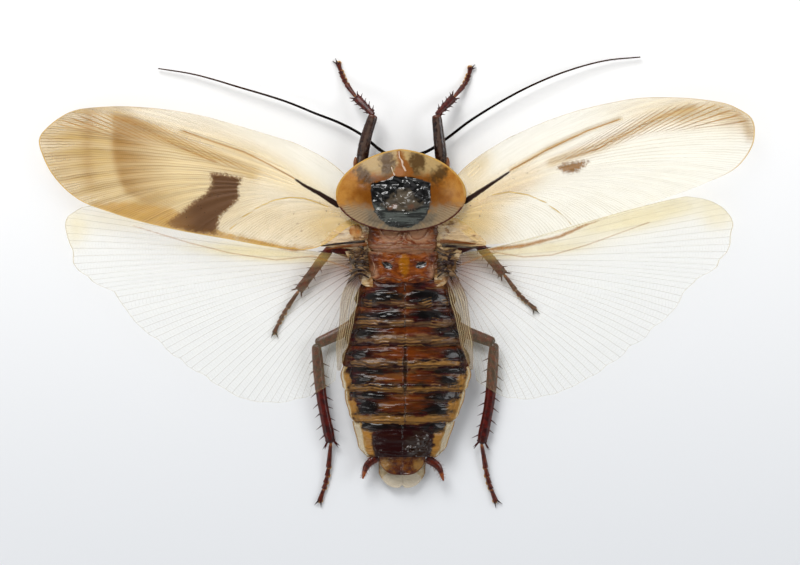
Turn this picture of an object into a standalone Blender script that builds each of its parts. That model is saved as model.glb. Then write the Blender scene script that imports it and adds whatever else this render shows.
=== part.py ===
# Giant cave cockroach: a dried specimen with its four wings spread, lying on its belly and feet.
# Sizes are in millimetres from the body's midline. +X is the animal's right, +Y its head end, +Z its back.
# The floor is at height 0, and the finished model is centred over the origin.

import math

import bmesh
import bpy
import numpy as np
from mathutils import Vector

MM = 0.001
GAP = 0.3                      # clearance between two pieces that meet
WELD = 0.02                    # points of a fused body that lie closer than this become one
LEFT = -1.0
RIGHT = 1.0
SIDES = {"left": LEFT, "right": RIGHT}

# Driving dimensions
PRONOTUM_HALF_WIDTH = 13.0
PRONOTUM_CENTRE = (-0.2, 17.4)
PRONOTUM_FRONT = 9.2           # from the widest line to the front rim
PRONOTUM_REAR = 7.3
PRONOTUM_RIM_TOP = 7.6
PRONOTUM_REAR_ARCH = 0.9       # the rim stands this much higher at the middle of its rear edge
PRONOTUM_CROWN = 10.6
PRONOTUM_RIM_THICKNESS = 0.55
PRONOTUM_THICKNESS = 0.9

THORAX_HALF_WIDTH = 7.4
THORAX_MIDDLE = 0.2
THORAX_FLOOR = 2.6             # underside of the thorax, which lies on the hip plates
MESONOTUM_SPAN = (6.4, 13.2)   # rear and front ends along the body
METANOTUM_SPAN = (0.3, 6.1)
NOTUM_THICKNESS = 0.8

ABDOMEN_FRONT = 0.0
ABDOMEN_REAR = -34.8
TERGITE_REARS = (-4.3, -8.3, -11.9, -16.3, -21.1, -26.9, ABDOMEN_REAR)
TERGITE_THICKNESS = 0.8
FLANGE_THICKNESS = 0.5
LIP_RISE = 0.3                 # each tergite's rear edge stands this much over the next one
FRONT_CORNER = 0.95            # a tergite's width at its front and rear, as shares of the abdomen's
REAR_CORNER = 1.02
BELLY_SHARE = 0.84             # the belly's width as a share of the tergites' width
BELLY_CLEARANCE = 0.42         # between the belly and the plates that lie on it
BELLY_REST = 0.0

WING_THICKNESS = 0.5
VEIN_HEIGHT = 0.28
VEIN_HALF_WIDTH = 0.5
TEGMEN_LEVEL = 6.0
HINDWING_LEVEL = 4.95
WING_ROOT = THORAX_HALF_WIDTH + GAP
WING_DROOP = 2.0               # how far the wing tips hang below the roots
WING_SPAN = 72.0

TEGMEN_VEINS = 11
TEGMEN_STEPS = 10
HINDWING_VEINS = 12
HINDWING_STEPS = 7

ANTENNA_BASE_RADIUS = 0.3
ANTENNA_TIP_RADIUS = 0.13
ANTENNA_LENGTHS = 3


# Colours and finishes
COLOURS = {
    "head": ((0.10, 0.05, 0.03), 0.35, 0.0),
    "eye": ((0.02, 0.02, 0.025), 0.18, 0.0),
    "antenna": ((0.06, 0.03, 0.025), 0.5, 0.0),
    "pronotum": ((0.58, 0.28, 0.07), 0.3, 0.0),
    "thorax": ((0.30, 0.12, 0.05), 0.4, 0.0),
    "notum": ((0.46, 0.20, 0.09), 0.35, 0.0),
    "tergite": ((0.16, 0.06, 0.03), 0.28, 0.0),
    "belly": ((0.30, 0.14, 0.06), 0.4, 0.0),
    "plate": ((0.60, 0.42, 0.22), 0.4, 0.0),
    "cercus": ((0.22, 0.08, 0.04), 0.35, 0.0),
    "tegmen": ((0.86, 0.76, 0.56), 0.4, 0.0),
    "hindwing": ((0.88, 0.84, 0.74), 0.35, 0.0),
    "hinge": ((0.17, 0.11, 0.08), 0.35, 0.0),
    "leg": ((0.17, 0.06, 0.035), 0.35, 0.0),
}


def remove_everything():
    for item in list(bpy.data.objects):
        bpy.data.objects.remove(item, do_unlink=True)


def finish(name):
    """The material of one kind of surface."""
    if name in bpy.data.materials:
        return bpy.data.materials[name]
    colour, roughness, metallic = COLOURS[name]
    material = bpy.data.materials.new(name)
    material.use_nodes = True
    shader = material.node_tree.nodes["Principled BSDF"]
    shader.inputs["Base Color"].default_value = (*colour, 1.0)
    shader.inputs["Roughness"].default_value = roughness
    shader.inputs["Metallic"].default_value = metallic
    return material


def add_mesh(name, points, faces, material):
    """An object from points in millimetres, shaded smooth with its sharp edges kept."""
    mesh = bpy.data.meshes.new(name)
    mesh.from_pydata([tuple(MM * float(value) for value in point) for point in points], [], faces)
    mesh.update()
    mesh.shade_smooth()
    mesh.set_sharp_from_angle(angle=math.radians(40.0))
    part = bpy.data.objects.new(name, mesh)
    part.data.materials.append(finish(material))
    bpy.context.scene.collection.objects.link(part)
    return part


def blend(low, high, share):
    return low + (high - low) * share


def ramp(value, start, end):
    """A smooth rise from 0 at start to 1 at end."""
    share = np.clip((value - start) / (end - start), 0.0, 1.0)
    return share * share * (3.0 - 2.0 * share)


def through(points, count):
    """Evenly spaced points on a smooth curve through a few points."""
    points = np.asarray(points, float)
    steps = np.linalg.norm(np.diff(points, axis=0), axis=1)
    places = np.concatenate([[0.0], np.cumsum(steps)])
    slopes = np.gradient(points, places, axis=0)
    fine = np.linspace(0.0, places[-1], 40 * len(points))
    span = np.clip(np.searchsorted(places, fine, side="right") - 1, 0, len(points) - 2)
    length = (places[span + 1] - places[span])[:, None]
    share = ((fine - places[span]) / length[:, 0])[:, None]
    squared = share * share
    cubed = squared * share
    curve = (2.0 * cubed - 3.0 * squared + 1.0) * points[span]
    curve = curve + (cubed - 2.0 * squared + share) * length * slopes[span]
    curve = curve + (3.0 * squared - 2.0 * cubed) * points[span + 1]
    curve = curve + (cubed - squared) * length * slopes[span + 1]
    travelled = np.concatenate([[0.0], np.cumsum(np.linalg.norm(np.diff(curve, axis=0), axis=1))])
    wanted = np.linspace(0.0, travelled[-1], count)
    return np.stack([np.interp(wanted, travelled, column) for column in curve.T], axis=1)


def grid_triangles(rows, columns):
    """Triangles of a grid whose points are numbered row by row."""
    triangles = []
    for row in range(rows - 1):
        for column in range(columns - 1):
            corner = row * columns + column
            triangles.append((corner, corner + 1, corner + columns + 1))
            triangles.append((corner, corner + columns + 1, corner + columns))
    return triangles


def closed_sheet(name, places, triangles, top, bottom, material):
    """A closed body between two heights over flat triangles, which are alike on both of its faces."""
    count = len(places)
    upward = []
    for first, second, third in triangles:
        along = places[second] - places[first]
        across = places[third] - places[first]
        if along[0] * across[1] - along[1] * across[0] < 0.0:
            second, third = third, second
        upward.append((first, second, third))
    edges = {(tri[k], tri[(k + 1) % 3]) for tri in upward for k in range(3)}
    faces = list(upward)
    faces += [(third + count, second + count, first + count) for first, second, third in upward]
    for start, end in sorted(edges):
        if (end, start) not in edges:
            faces.append((end, start, start + count))
            faces.append((end, start + count, end + count))
    points = [(x, y, z) for (x, y), z in zip(places, top)]
    points += [(x, y, z) for (x, y), z in zip(places, bottom)]
    return add_mesh(name, points, faces, material)


def rings_to_faces(rings, sides):
    """Faces of a tube of rings, closed at both ends."""
    faces = []
    for ring in range(rings - 1):
        for side in range(sides):
            here = ring * sides + side
            beside = ring * sides + (side + 1) % sides
            faces.append((here, beside, beside + sides, here + sides))
    faces.append(tuple(reversed(range(sides))))
    faces.append(tuple(range((rings - 1) * sides, rings * sides)))
    return faces


def limb(name, path, widths, heights, material, sides=8, lowest=None):
    """A tube along a path, its half width and half height given at each point of the path."""
    path = np.asarray(path, float)
    tangents = np.gradient(path, axis=0)
    points = []
    for place, tangent, half_width, half_height in zip(path, tangents, widths, heights):
        along = Vector(tangent).normalized()
        across = along.cross(Vector((0.0, 0.0, 1.0))).normalized()
        over = across.cross(along)
        for side in range(sides):
            angle = 2.0 * math.pi * (side + 0.5) / sides
            offset = across * (half_width * math.cos(angle)) + over * (half_height * math.sin(angle))
            point = Vector(place) + offset
            if lowest is not None:
                point.z = max(point.z, lowest)
            points.append(point)
    faces = rings_to_faces(len(path), sides)
    part = add_mesh(name, points, faces, material)
    mend_facing(part)
    return part


def mend_facing(part):
    """Turns a closed body's faces outwards."""
    shape = bmesh.new()
    shape.from_mesh(part.data)
    bmesh.ops.recalc_face_normals(shape, faces=shape.faces)
    if shape.calc_volume(signed=True) < 0.0:
        bmesh.ops.reverse_faces(shape, faces=shape.faces)
    shape.to_mesh(part.data)
    shape.free()


def keep_largest(part):
    """Leaves only the largest closed surface of a fused body."""
    shape = bmesh.new()
    shape.from_mesh(part.data)
    waiting = set(shape.faces)
    shells = []
    while waiting:
        start = waiting.pop()
        shell = {start}
        border = [start]
        while border:
            face = border.pop()
            for edge in face.edges:
                for other in edge.link_faces:
                    if other in waiting:
                        waiting.discard(other)
                        shell.add(other)
                        border.append(other)
        shells.append(shell)
    shells.sort(key=lambda shell: sum(face.calc_area() for face in shell))
    for shell in shells[:-1]:
        bmesh.ops.delete(shape, geom=list(shell), context="FACES")
    bmesh.ops.triangulate(shape, faces=shape.faces)
    bmesh.ops.remove_doubles(shape, verts=shape.verts, dist=WELD * MM)
    bmesh.ops.dissolve_degenerate(shape, dist=0.2 * WELD * MM, edges=shape.edges)
    bmesh.ops.triangulate(shape, faces=shape.faces)
    shape.to_mesh(part.data)
    shape.free()


def fuse(core, pieces):
    """Joins pieces to their core by one Boolean union, so that the core stays one closed body."""
    group = bpy.data.collections.new(core.name + "_pieces")
    bpy.context.scene.collection.children.link(group)
    for piece in pieces:
        group.objects.link(piece)
        bpy.context.scene.collection.objects.unlink(piece)
    union = core.modifiers.new("Union", "BOOLEAN")
    union.operation = "UNION"
    union.operand_type = "COLLECTION"
    union.collection = group
    union.solver = "EXACT"
    evaluated = core.evaluated_get(bpy.context.evaluated_depsgraph_get())
    fused = bpy.data.meshes.new_from_object(evaluated)
    core.modifiers.clear()
    core.data = fused
    core.data.name = core.name
    for piece in pieces:
        bpy.data.objects.remove(piece, do_unlink=True)
    bpy.data.collections.remove(group)
    keep_largest(core)
    core.data.shade_smooth()
    core.data.set_sharp_from_angle(angle=math.radians(40.0))
    return core


def cut(part, cutter):
    """Takes the cutter's space out of a part."""
    difference = part.modifiers.new("Clearance", "BOOLEAN")
    difference.operation = "DIFFERENCE"
    difference.object = cutter
    difference.solver = "EXACT"
    evaluated = part.evaluated_get(bpy.context.evaluated_depsgraph_get())
    trimmed = bpy.data.meshes.new_from_object(evaluated)
    part.modifiers.clear()
    part.data = trimmed
    part.data.name = part.name
    keep_largest(part)
    part.data.shade_smooth()
    part.data.set_sharp_from_angle(angle=math.radians(40.0))


# Pronotum, the shield over the head and the front of the thorax

def pronotum_rim(angle):
    """A point of the shield's outline, with angle 0 at the animal's right."""
    reach = PRONOTUM_FRONT if math.sin(angle) > 0.0 else PRONOTUM_REAR
    return np.array([PRONOTUM_HALF_WIDTH * math.cos(angle), reach * math.sin(angle)])


def pronotum_dome(share, angle):
    """Height of the shield's top and underside at a share of the way from its middle to its rim."""
    rim = PRONOTUM_RIM_TOP + PRONOTUM_REAR_ARCH * max(0.0, -math.sin(angle)) ** 2
    top = blend(rim, PRONOTUM_CROWN, (1.0 - share ** 2.2) ** 0.9)
    thickness = blend(PRONOTUM_THICKNESS, PRONOTUM_RIM_THICKNESS, share ** 3)
    return top, top - thickness


def make_pronotum():
    around = 36
    shares = (0.3, 0.58, 0.8, 0.94, 1.0)
    centre = np.array(PRONOTUM_CENTRE)
    places = [centre]
    depths = [(0.0, 0.0)]
    for share in shares:
        for step in range(around):
            angle = 2.0 * math.pi * step / around
            places.append(centre + share * pronotum_rim(angle))
            depths.append((share, angle))
    triangles = []
    for step in range(around):
        following = (step + 1) % around
        triangles.append((0, 1 + step, 1 + following))
        for ring in range(len(shares) - 1):
            inner = 1 + ring * around
            outer = inner + around
            triangles.append((inner + step, outer + step, outer + following))
            triangles.append((inner + step, outer + following, inner + following))
    heights = [pronotum_dome(share, angle) for share, angle in depths]
    top = [pair[0] for pair in heights]
    bottom = [pair[1] for pair in heights]
    closed_sheet("pronotum", np.array(places), triangles, top, bottom, "pronotum")


# Thorax: three blocks under the shield and the two plates behind it

def thorax_block(name, front, rear, front_width, rear_width, front_top, rear_top):
    """A rounded block with a flat underside, wider at its waist than above."""
    rings = 4
    outline = ((-0.62, 0.0), (-1.0, 0.38), (-1.0, 0.72), (-0.8, 1.0), (-0.4, 1.0))
    outline = outline + tuple((-x, z) for x, z in reversed(outline))
    points = []
    for ring in range(rings):
        share = ring / (rings - 1)
        y = blend(front, rear, share)
        half_width = blend(front_width, rear_width, share)
        top = blend(front_top, rear_top, share)
        for x, level in outline:
            points.append((THORAX_MIDDLE + x * half_width, y, blend(THORAX_FLOOR, top, level)))
    part = add_mesh(name, points, rings_to_faces(rings, len(outline)), "thorax")
    mend_facing(part)
    return part


def arched_plate(name, rows, profile, columns, thickness, material):
    """A cross-arched plate. Each row is its place along the body, middle, half width and heights."""
    places = []
    top = []
    bottom = []
    for y, middle, half_width, crown, edge in rows:
        for column in range(columns):
            share = 2.0 * column / (columns - 1) - 1.0
            height = blend(edge, crown, profile(share))
            places.append((middle + half_width * share, y))
            top.append(height)
            bottom.append(height - thickness(share))
    return closed_sheet(name, np.array(places), grid_triangles(len(rows), columns), top, bottom, material)


def notum_profile(share):
    return (1.0 - abs(share) ** 2.5) ** 0.8


def notum_thickness(share):
    return NOTUM_THICKNESS


def make_thorax():
    width = THORAX_HALF_WIDTH
    thorax_block("prothorax", 20.2, 14.6, 2.2, 5.2, 6.0, 6.9)
    thorax_block("mesothorax", 14.3, 6.4, 6.4, width, 5.6, 5.4)
    thorax_block("metathorax", 6.1, 0.3, width, width, 5.4, 5.2)
    rear, front = MESONOTUM_SPAN
    rows = [
        (front, THORAX_MIDDLE, width, 7.1, 6.5),
        (blend(front, rear, 0.35), THORAX_MIDDLE, width, 7.4, 6.5),
        (blend(front, rear, 0.7), THORAX_MIDDLE, width, 7.7, 6.4),
        (rear, THORAX_MIDDLE, width, 7.9, 6.4),
    ]
    arched_plate("mesonotum", rows, notum_profile, 13, notum_thickness, "notum")
    rear, front = METANOTUM_SPAN
    rows = [
        (front, THORAX_MIDDLE, width, 7.6, 6.3),
        (blend(front, rear, 0.35), THORAX_MIDDLE, width, 7.7, 6.3),
        (blend(front, rear, 0.7), THORAX_MIDDLE, width, 7.5, 6.2),
        (rear, THORAX_MIDDLE, width, 7.3, 6.1),
    ]
    arched_plate("metanotum", rows, notum_profile, 13, notum_thickness, "notum")


# Abdomen: seven back plates over one belly

ABDOMEN_PLACES = (0.3, -1.5, -8.9, -16.1, -17.5, -21.7, -28.3, -34.7, -36.0)
ABDOMEN_MIDDLES = (0.6, 0.6, 0.7, 0.8, 0.8, 0.6, 0.3, 0.0, 0.0)
ABDOMEN_HALF_WIDTHS = (8.4, 9.2, 11.0, 12.9, 13.1, 12.4, 10.3, 8.1, 7.4)
CROWN_PLACES = (0.3, -8.0, -18.0, -28.0, -36.0)
CROWN_HEIGHTS = (6.9, 7.2, 7.0, 6.0, 4.4)
EDGE_HEIGHTS = (4.6, 4.2, 3.8, 3.5, 3.0)


def along_body(y, places, values):
    return float(np.interp(-y, [-place for place in places], values))


def abdomen_middle(y):
    return along_body(y, ABDOMEN_PLACES, ABDOMEN_MIDDLES)


def abdomen_half_width(y):
    return along_body(y, ABDOMEN_PLACES, ABDOMEN_HALF_WIDTHS)


def abdomen_crown(y):
    return along_body(y, CROWN_PLACES, CROWN_HEIGHTS)


def abdomen_edge(y):
    return along_body(y, CROWN_PLACES, EDGE_HEIGHTS)


def tergite_profile(share):
    """The back's arch, which runs out into a flat flange at each side."""
    inner = min(abs(share) / 0.9, 1.0)
    return (1.0 - inner ** 2.3) ** 0.85


def tergite_thickness(share):
    return blend(TERGITE_THICKNESS, FLANGE_THICKNESS, ramp(abs(share), 0.6, 0.9))


def make_tergites():
    front = ABDOMEN_FRONT
    for number, rear in enumerate(TERGITE_REARS, start=1):
        rows = []
        for share in (0.0, 0.3, 0.7, 1.0):
            y = blend(front, rear, share)
            lift = LIP_RISE * share ** 2
            lobe = blend(FRONT_CORNER, REAR_CORNER, share ** 0.8)
            rows.append((
                y,
                abdomen_middle(y),
                abdomen_half_width(y) * lobe,
                abdomen_crown(y) + lift,
                abdomen_edge(y) + 0.4 * lift,
            ))
        arched_plate(f"tergite_{number}", rows, tergite_profile, 19, tergite_thickness, "tergite")
        front = rear - GAP


def belly_low(y, share):
    """Height of the belly's underside: it clears the hind legs in front and rests on the floor behind."""
    clear = blend(2.75, BELLY_REST, ramp(-y, 10.5, 14.5))
    rise_behind = 1.4 * ramp(-y, 30.0, 36.0)
    roll = 1.9 * max(0.0, abs(share) - 0.45) ** 1.6 / 0.55 ** 1.6
    room = abdomen_edge(y) - FLANGE_THICKNESS - GAP - 0.6
    return min(max(clear, roll) + rise_behind, room)


def make_belly():
    columns = 13
    steps = np.linspace(ABDOMEN_FRONT, ABDOMEN_REAR, 15)
    places = []
    top = []
    bottom = []
    for y in steps:
        middle = abdomen_middle(y)
        half_width = abdomen_half_width(y)
        for column in range(columns):
            share = 2.0 * column / (columns - 1) - 1.0
            across = share * BELLY_SHARE
            above = across / FRONT_CORNER
            back = blend(abdomen_edge(y), abdomen_crown(y), tergite_profile(above))
            places.append((middle + half_width * across, y))
            top.append(back - tergite_thickness(above) - BELLY_CLEARANCE)
            bottom.append(belly_low(y, share))
    closed_sheet("belly", np.array(places), grid_triangles(len(steps), columns), top, bottom, "belly")


TAIL_PLATES = {
    "anal_plate": {"tip": -38.6, "half_width": 4.5, "corner": 2.3, "notch": 0.0, "level": 4.1, "tilt": 0.9},
    "subgenital_plate": {"tip": -41.3, "half_width": 4.7, "corner": 3.0, "notch": 0.7, "level": 1.9, "tilt": 0.5},
}
TAIL_THICKNESS = 0.7
TAIL_ARCH = 0.35
TAIL_ROWS = (0.0, 0.35, 0.7, 1.0)
TAIL_STATIONS = (-1.0, -0.93, -0.78, -0.5, -0.16, 0.0, 0.16, 0.5, 0.78, 0.93, 1.0)


def tail_plate(name, size):
    """A plate behind the abdomen with rounded corners and maybe a notch in the middle of its rear edge."""
    root = ABDOMEN_REAR - GAP
    places = []
    top = []
    bottom = []
    for share in TAIL_ROWS:
        for across in TAIL_STATIONS:
            end = size["tip"] + size["corner"] * abs(across) ** 3.4
            if across == 0.0:
                end += size["notch"]
            places.append((size["half_width"] * across, blend(root, end, share)))
            height = size["level"] - size["tilt"] * share + TAIL_ARCH * (1.0 - across ** 2)
            top.append(height)
            bottom.append(height - TAIL_THICKNESS)
    triangles = grid_triangles(len(TAIL_ROWS), len(TAIL_STATIONS))
    closed_sheet(name, np.array(places), triangles, top, bottom, "plate")


CERCUS_RINGS = 9
CERCUS_HALF_WIDTHS = (0.85, 0.16)
CERCUS_FLATNESS = 0.7
CERCI = {
    "left": ((5.3, -35.75, 3.0), (7.1, -37.3, 3.1), (7.9, -39.4, 2.6)),
    "right": ((5.3, -35.75, 3.0), (7.4, -37.4, 3.1), (8.3, -39.8, 2.6)),
}


def make_tail():
    for name, size in TAIL_PLATES.items():
        tail_plate(name, size)
    for side, sign in SIDES.items():
        path = through([(sign * x, y, z) for x, y, z in CERCI[side]], CERCUS_RINGS)
        taper = [blend(*CERCUS_HALF_WIDTHS, share ** 1.2) for share in np.linspace(0.0, 1.0, CERCUS_RINGS)]
        flat = [CERCUS_FLATNESS * half for half in taper]
        limb(f"cercus_{side}", path, taper, flat, "cercus")


# Wings: rays run from a short root to the margin, and each main vein is a ridge along its ray.
# A ray is a Bezier curve whose two guide points are given for some of the margin's points.

TEGMEN_LEFT = {
    "root": (13.2, 11.2),
    "margin": (
        (21.8, 28.0), (32.3, 31.2), (40.8, 33.5), (49.2, 34.8), (60.5, 35.1), (66.0, 34.3),
        (70.2, 31.8), (72.7, 28.8), (71.9, 25.2), (70.2, 21.9), (65.2, 16.9), (57.6, 13.8),
        (45.0, 10.5), (35.0, 8.7), (26.0, 7.1), (19.6, 6.5),
    ),
    "rays": {
        0: ((8.2, 20.2), (13.4, 24.4)),
        4: ((17.6, 22.6), (36.0, 30.4)),
        7: ((20.8, 21.8), (45.0, 28.8)),
        10: ((21.6, 20.4), (42.7, 23.6)),
        12: ((19.4, 19.2), (33.0, 20.0)),
        13: ((16.6, 17.8), (26.8, 17.4)),
        14: ((13.6, 14.6), (20.7, 12.8)),
        15: ((12.0, 13.0), (12.6, 7.0)),
    },
}
TEGMEN_RIGHT = {
    "root": (13.2, 11.0),
    "margin": (
        (21.5, 29.0), (27.8, 31.8), (35.0, 34.3), (41.2, 35.8), (46.8, 36.8), (53.9, 37.0),
        (60.2, 36.6), (66.5, 35.2), (70.3, 32.4), (70.5, 28.4), (67.8, 23.8), (60.0, 19.6),
        (51.8, 16.6), (42.5, 13.6), (33.5, 11.4), (24.0, 9.3), (17.0, 7.9),
    ),
    "rays": {
        0: ((8.6, 21.4), (13.6, 24.4)),
        5: ((16.0, 22.8), (33.6, 31.8)),
        8: ((19.2, 22.0), (42.0, 31.0)),
        10: ((20.8, 20.8), (43.6, 26.8)),
        13: ((18.8, 19.4), (31.6, 21.8)),
        14: ((16.6, 17.8), (27.6, 19.6)),
        15: ((14.0, 15.0), (20.6, 13.6)),
        16: ((11.6, 12.2), (12.0, 8.8)),
    },
}
HINDWING_LEFT = {
    "root": (5.4, 2.2),
    "margin": (
        (62.0, 15.7), (65.8, 14.3), (67.4, 12.9), (67.7, 10.9), (66.6, 7.7), (66.2, 4.5),
        (63.7, 1.3), (60.4, -0.7), (57.6, -2.3), (55.6, -5.3), (53.0, -8.5), (49.0, -11.7),
        (45.0, -15.3), (41.0, -18.0), (37.0, -20.5), (32.9, -22.9), (26.4, -24.1),
        (20.4, -23.3), (16.2, -21.6), (13.4, -19.6),
    ),
    "rays": {
        0: ((24.0, 5.6), (42.0, 12.6)),
        4: ((20.0, 5.2), (42.0, 7.2)),
        9: ((20.0, 2.4), (38.0, -0.6)),
        16: ((12.4, -1.6), (19.5, -12.8)),
        19: ((11.2, -2.6), (12.2, -12.0)),
    },
}
HINDWING_RIGHT = {
    "root": (5.4, 2.2),
    "margin": (
        (57.2, 17.3), (62.4, 16.2), (65.6, 13.9), (66.5, 11.0), (65.6, 7.2), (63.7, 3.7),
        (59.6, 0.7), (57.0, -1.4), (55.6, -4.1), (53.5, -6.7), (50.9, -8.8), (48.8, -11.0),
        (46.3, -12.7), (43.8, -14.9), (38.4, -18.6), (32.8, -21.5), (27.2, -23.1),
        (21.6, -23.2), (17.6, -21.5), (14.9, -19.6),
    ),
    "rays": {
        0: ((24.0, 4.8), (42.0, 14.6)),
        3: ((20.0, 5.2), (42.0, 8.0)),
        9: ((20.0, 2.4), (37.0, -0.2)),
        16: ((13.6, -1.6), (20.5, -12.4)),
        19: ((12.6, -1.6), (13.8, -12.0)),
    },
}


def wing_rays(wing, sign):
    """A function from a margin share to the ray's root, two guides and tip, for the wing of one side."""
    margin = through(wing["margin"], 400)
    shares = np.linspace(0.0, 1.0, len(margin))
    keys = sorted(wing["rays"])
    stops = []
    for key in keys:
        distances = np.linalg.norm(margin - np.array(wing["margin"][key]), axis=1)
        stops.append(shares[int(np.argmin(distances))])
    guides = np.array([wing["rays"][key] for key in keys])
    root_x = WING_ROOT + sign * THORAX_MIDDLE
    front, rear = [np.array((root_x, y)) for y in wing["root"]]

    def ray(share):
        share = np.asarray(share, float)[..., None]
        root = blend(front, rear, share)
        tip = np.concatenate([np.interp(share, shares, margin[:, k]) for k in (0, 1)], axis=-1)
        first = np.concatenate([np.interp(share, stops, guides[:, 0, k]) for k in (0, 1)], axis=-1)
        second = np.concatenate([np.interp(share, stops, guides[:, 1, k]) for k in (0, 1)], axis=-1)
        return root, first, second, tip

    return ray


def wing_place(ray, share, reach):
    """The place in the wing at a margin share and a reach along the ray."""
    root, first, second, tip = ray(share)
    reach = np.asarray(reach, float)[..., None]
    rest = 1.0 - reach
    near = rest ** 3 * root + 3.0 * rest ** 2 * reach * first
    return near + 3.0 * rest * reach ** 2 * second + reach ** 3 * tip


def wing_droop(places):
    outward = np.clip((np.abs(places[..., 0]) - WING_ROOT) / (WING_SPAN - WING_ROOT), 0.0, 1.0)
    return WING_DROOP * outward ** 2


def make_wing(name, wing, sign, level, swell, veins, steps, material):
    """One wing: a membrane with its main veins raised in its upper face."""
    ray = wing_rays(wing, sign)
    pitch = 1.0 / (veins + 0.4)
    centres = [pitch * (0.2 + vein) for vein in range(veins + 1)]
    centres[0] = 0.35 * pitch
    rows = []
    ridges = []
    for step in range(steps + 1):
        reach = step / steps
        offsets = []
        lifts = []
        for centre in centres[:-1]:
            here = wing_place(ray, centre, reach)
            beside = wing_place(ray, centre + 0.01, reach)
            width = max(np.linalg.norm(beside - here) / 0.01, 1e-6)
            foot = min(VEIN_HALF_WIDTH / width, 0.3 * pitch)
            lift = VEIN_HEIGHT * min(1.0, foot * width / VEIN_HALF_WIDTH) * (1.0 - 0.5 * reach)
            offsets += [centre - foot, centre, centre + foot, centre + 0.5 * pitch]
            lifts += [0.0, lift, 0.0, 0.0]
        offsets = [0.0] + offsets[:-1] + [1.0]
        lifts = [0.0] + lifts[:-1] + [0.0]
        rows.append(wing_place(ray, np.array(offsets), np.full(len(offsets), reach)))
        ridges.append(lifts)
    places = np.array(rows)
    shares = np.linspace(0.0, 1.0, places.shape[1])[None, :]
    reaches = np.linspace(0.0, 1.0, places.shape[0])[:, None]
    middle = level - wing_droop(places) + swell * np.sin(math.pi * shares) * np.sin(math.pi * reaches ** 0.7)
    top = middle + 0.5 * WING_THICKNESS + np.array(ridges)
    bottom = middle - 0.5 * WING_THICKNESS
    places = places.reshape(-1, 2) * (sign, 1.0)
    triangles = grid_triangles(len(rows), len(rows[0]))
    return closed_sheet(name, places, triangles, top.ravel(), bottom.ravel(), material)


def make_wings():
    tegmina = {"left": TEGMEN_LEFT, "right": TEGMEN_RIGHT}
    hindwings = {"left": HINDWING_LEFT, "right": HINDWING_RIGHT}
    for side, sign in SIDES.items():
        make_wing(f"hindwing_{side}", hindwings[side], sign, HINDWING_LEVEL, -0.3, HINDWING_VEINS,
                  HINDWING_STEPS, "hindwing")
        make_wing(f"tegmen_{side}", tegmina[side], sign, TEGMEN_LEVEL, 0.35, TEGMEN_VEINS,
                  TEGMEN_STEPS, "tegmen")


# Small hard pieces at the wing roots

def pebble(name, centre, radii, turn, material, flat_below=None):
    """A rounded lump, cut off flat below where that is asked."""
    shape = bmesh.new()
    bmesh.ops.create_uvsphere(shape, u_segments=10, v_segments=6, radius=1.0)
    for vertex in shape.verts:
        vertex.co.x *= radii[0]
        vertex.co.y *= radii[1]
        vertex.co.z *= radii[2]
    bmesh.ops.rotate(shape, cent=(0.0, 0.0, 0.0), verts=shape.verts,
                     matrix=Vector((0.0, 0.0, 1.0)).rotation_difference(Vector(turn)).to_matrix())
    points = [np.array(centre) + np.array(vertex.co) for vertex in shape.verts]
    if flat_below is not None:
        points = [(x, y, max(z, flat_below)) for x, y, z in points]
    faces = [tuple(vertex.index for vertex in face.verts) for face in shape.faces]
    shape.free()
    return add_mesh(name, points, faces, material)


def make_hinges():
    seat = HINDWING_LEVEL + 0.5 * WING_THICKNESS + 0.12 + GAP
    for side, sign in SIDES.items():
        middle = THORAX_MIDDLE + sign * (WING_ROOT + 1.5)
        pebble(f"hinge_{side}", (middle, 4.6, seat + 0.1), (1.45, 2.0, 1.1), (0.1 * sign, 0.0, 1.0),
               "hinge", seat)
    pebble("tegula_left", (THORAX_MIDDLE - WING_ROOT - 1.6, 9.7, 5.05), (1.85, 1.6, 0.45),
           (0.0, 0.0, 1.0), "plate")


# Head, eyes and feelers

HEAD_CROWN = Vector((0.0, 24.6, 6.3))
HEAD_MOUTH = Vector((0.0, 20.9, 0.9))
HEAD_STATIONS = (0.0, 0.08, 0.2, 0.38, 0.55, 0.7, 0.82, 0.92, 1.0)
HEAD_HALF_WIDTHS = (0.9, 1.9, 2.7, 3.1, 2.8, 2.3, 1.9, 1.5, 0.8)
HEAD_HALF_DEPTHS = (0.5, 1.1, 1.6, 1.75, 1.6, 1.35, 1.1, 0.85, 0.4)


def head_shell(name, growth, material):
    """The head's rounded wedge, grown outwards by a clearance when it serves as a cutter."""
    sides = 16
    axis = (HEAD_MOUTH - HEAD_CROWN).normalized()
    across = Vector((1.0, 0.0, 0.0))
    forward = across.cross(axis).normalized()
    points = []
    for station, half_width, half_depth in zip(HEAD_STATIONS, HEAD_HALF_WIDTHS, HEAD_HALF_DEPTHS):
        centre = HEAD_CROWN.lerp(HEAD_MOUTH, station)
        centre = centre + axis * growth * (2.0 * station - 1.0)
        for side in range(sides):
            angle = 2.0 * math.pi * side / sides
            offset = across * ((half_width + growth) * math.cos(angle))
            points.append(centre + offset + forward * ((half_depth + growth) * math.sin(angle)))
    part = add_mesh(name, points, rings_to_faces(len(HEAD_STATIONS), sides), material)
    mend_facing(part)
    return part


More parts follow.
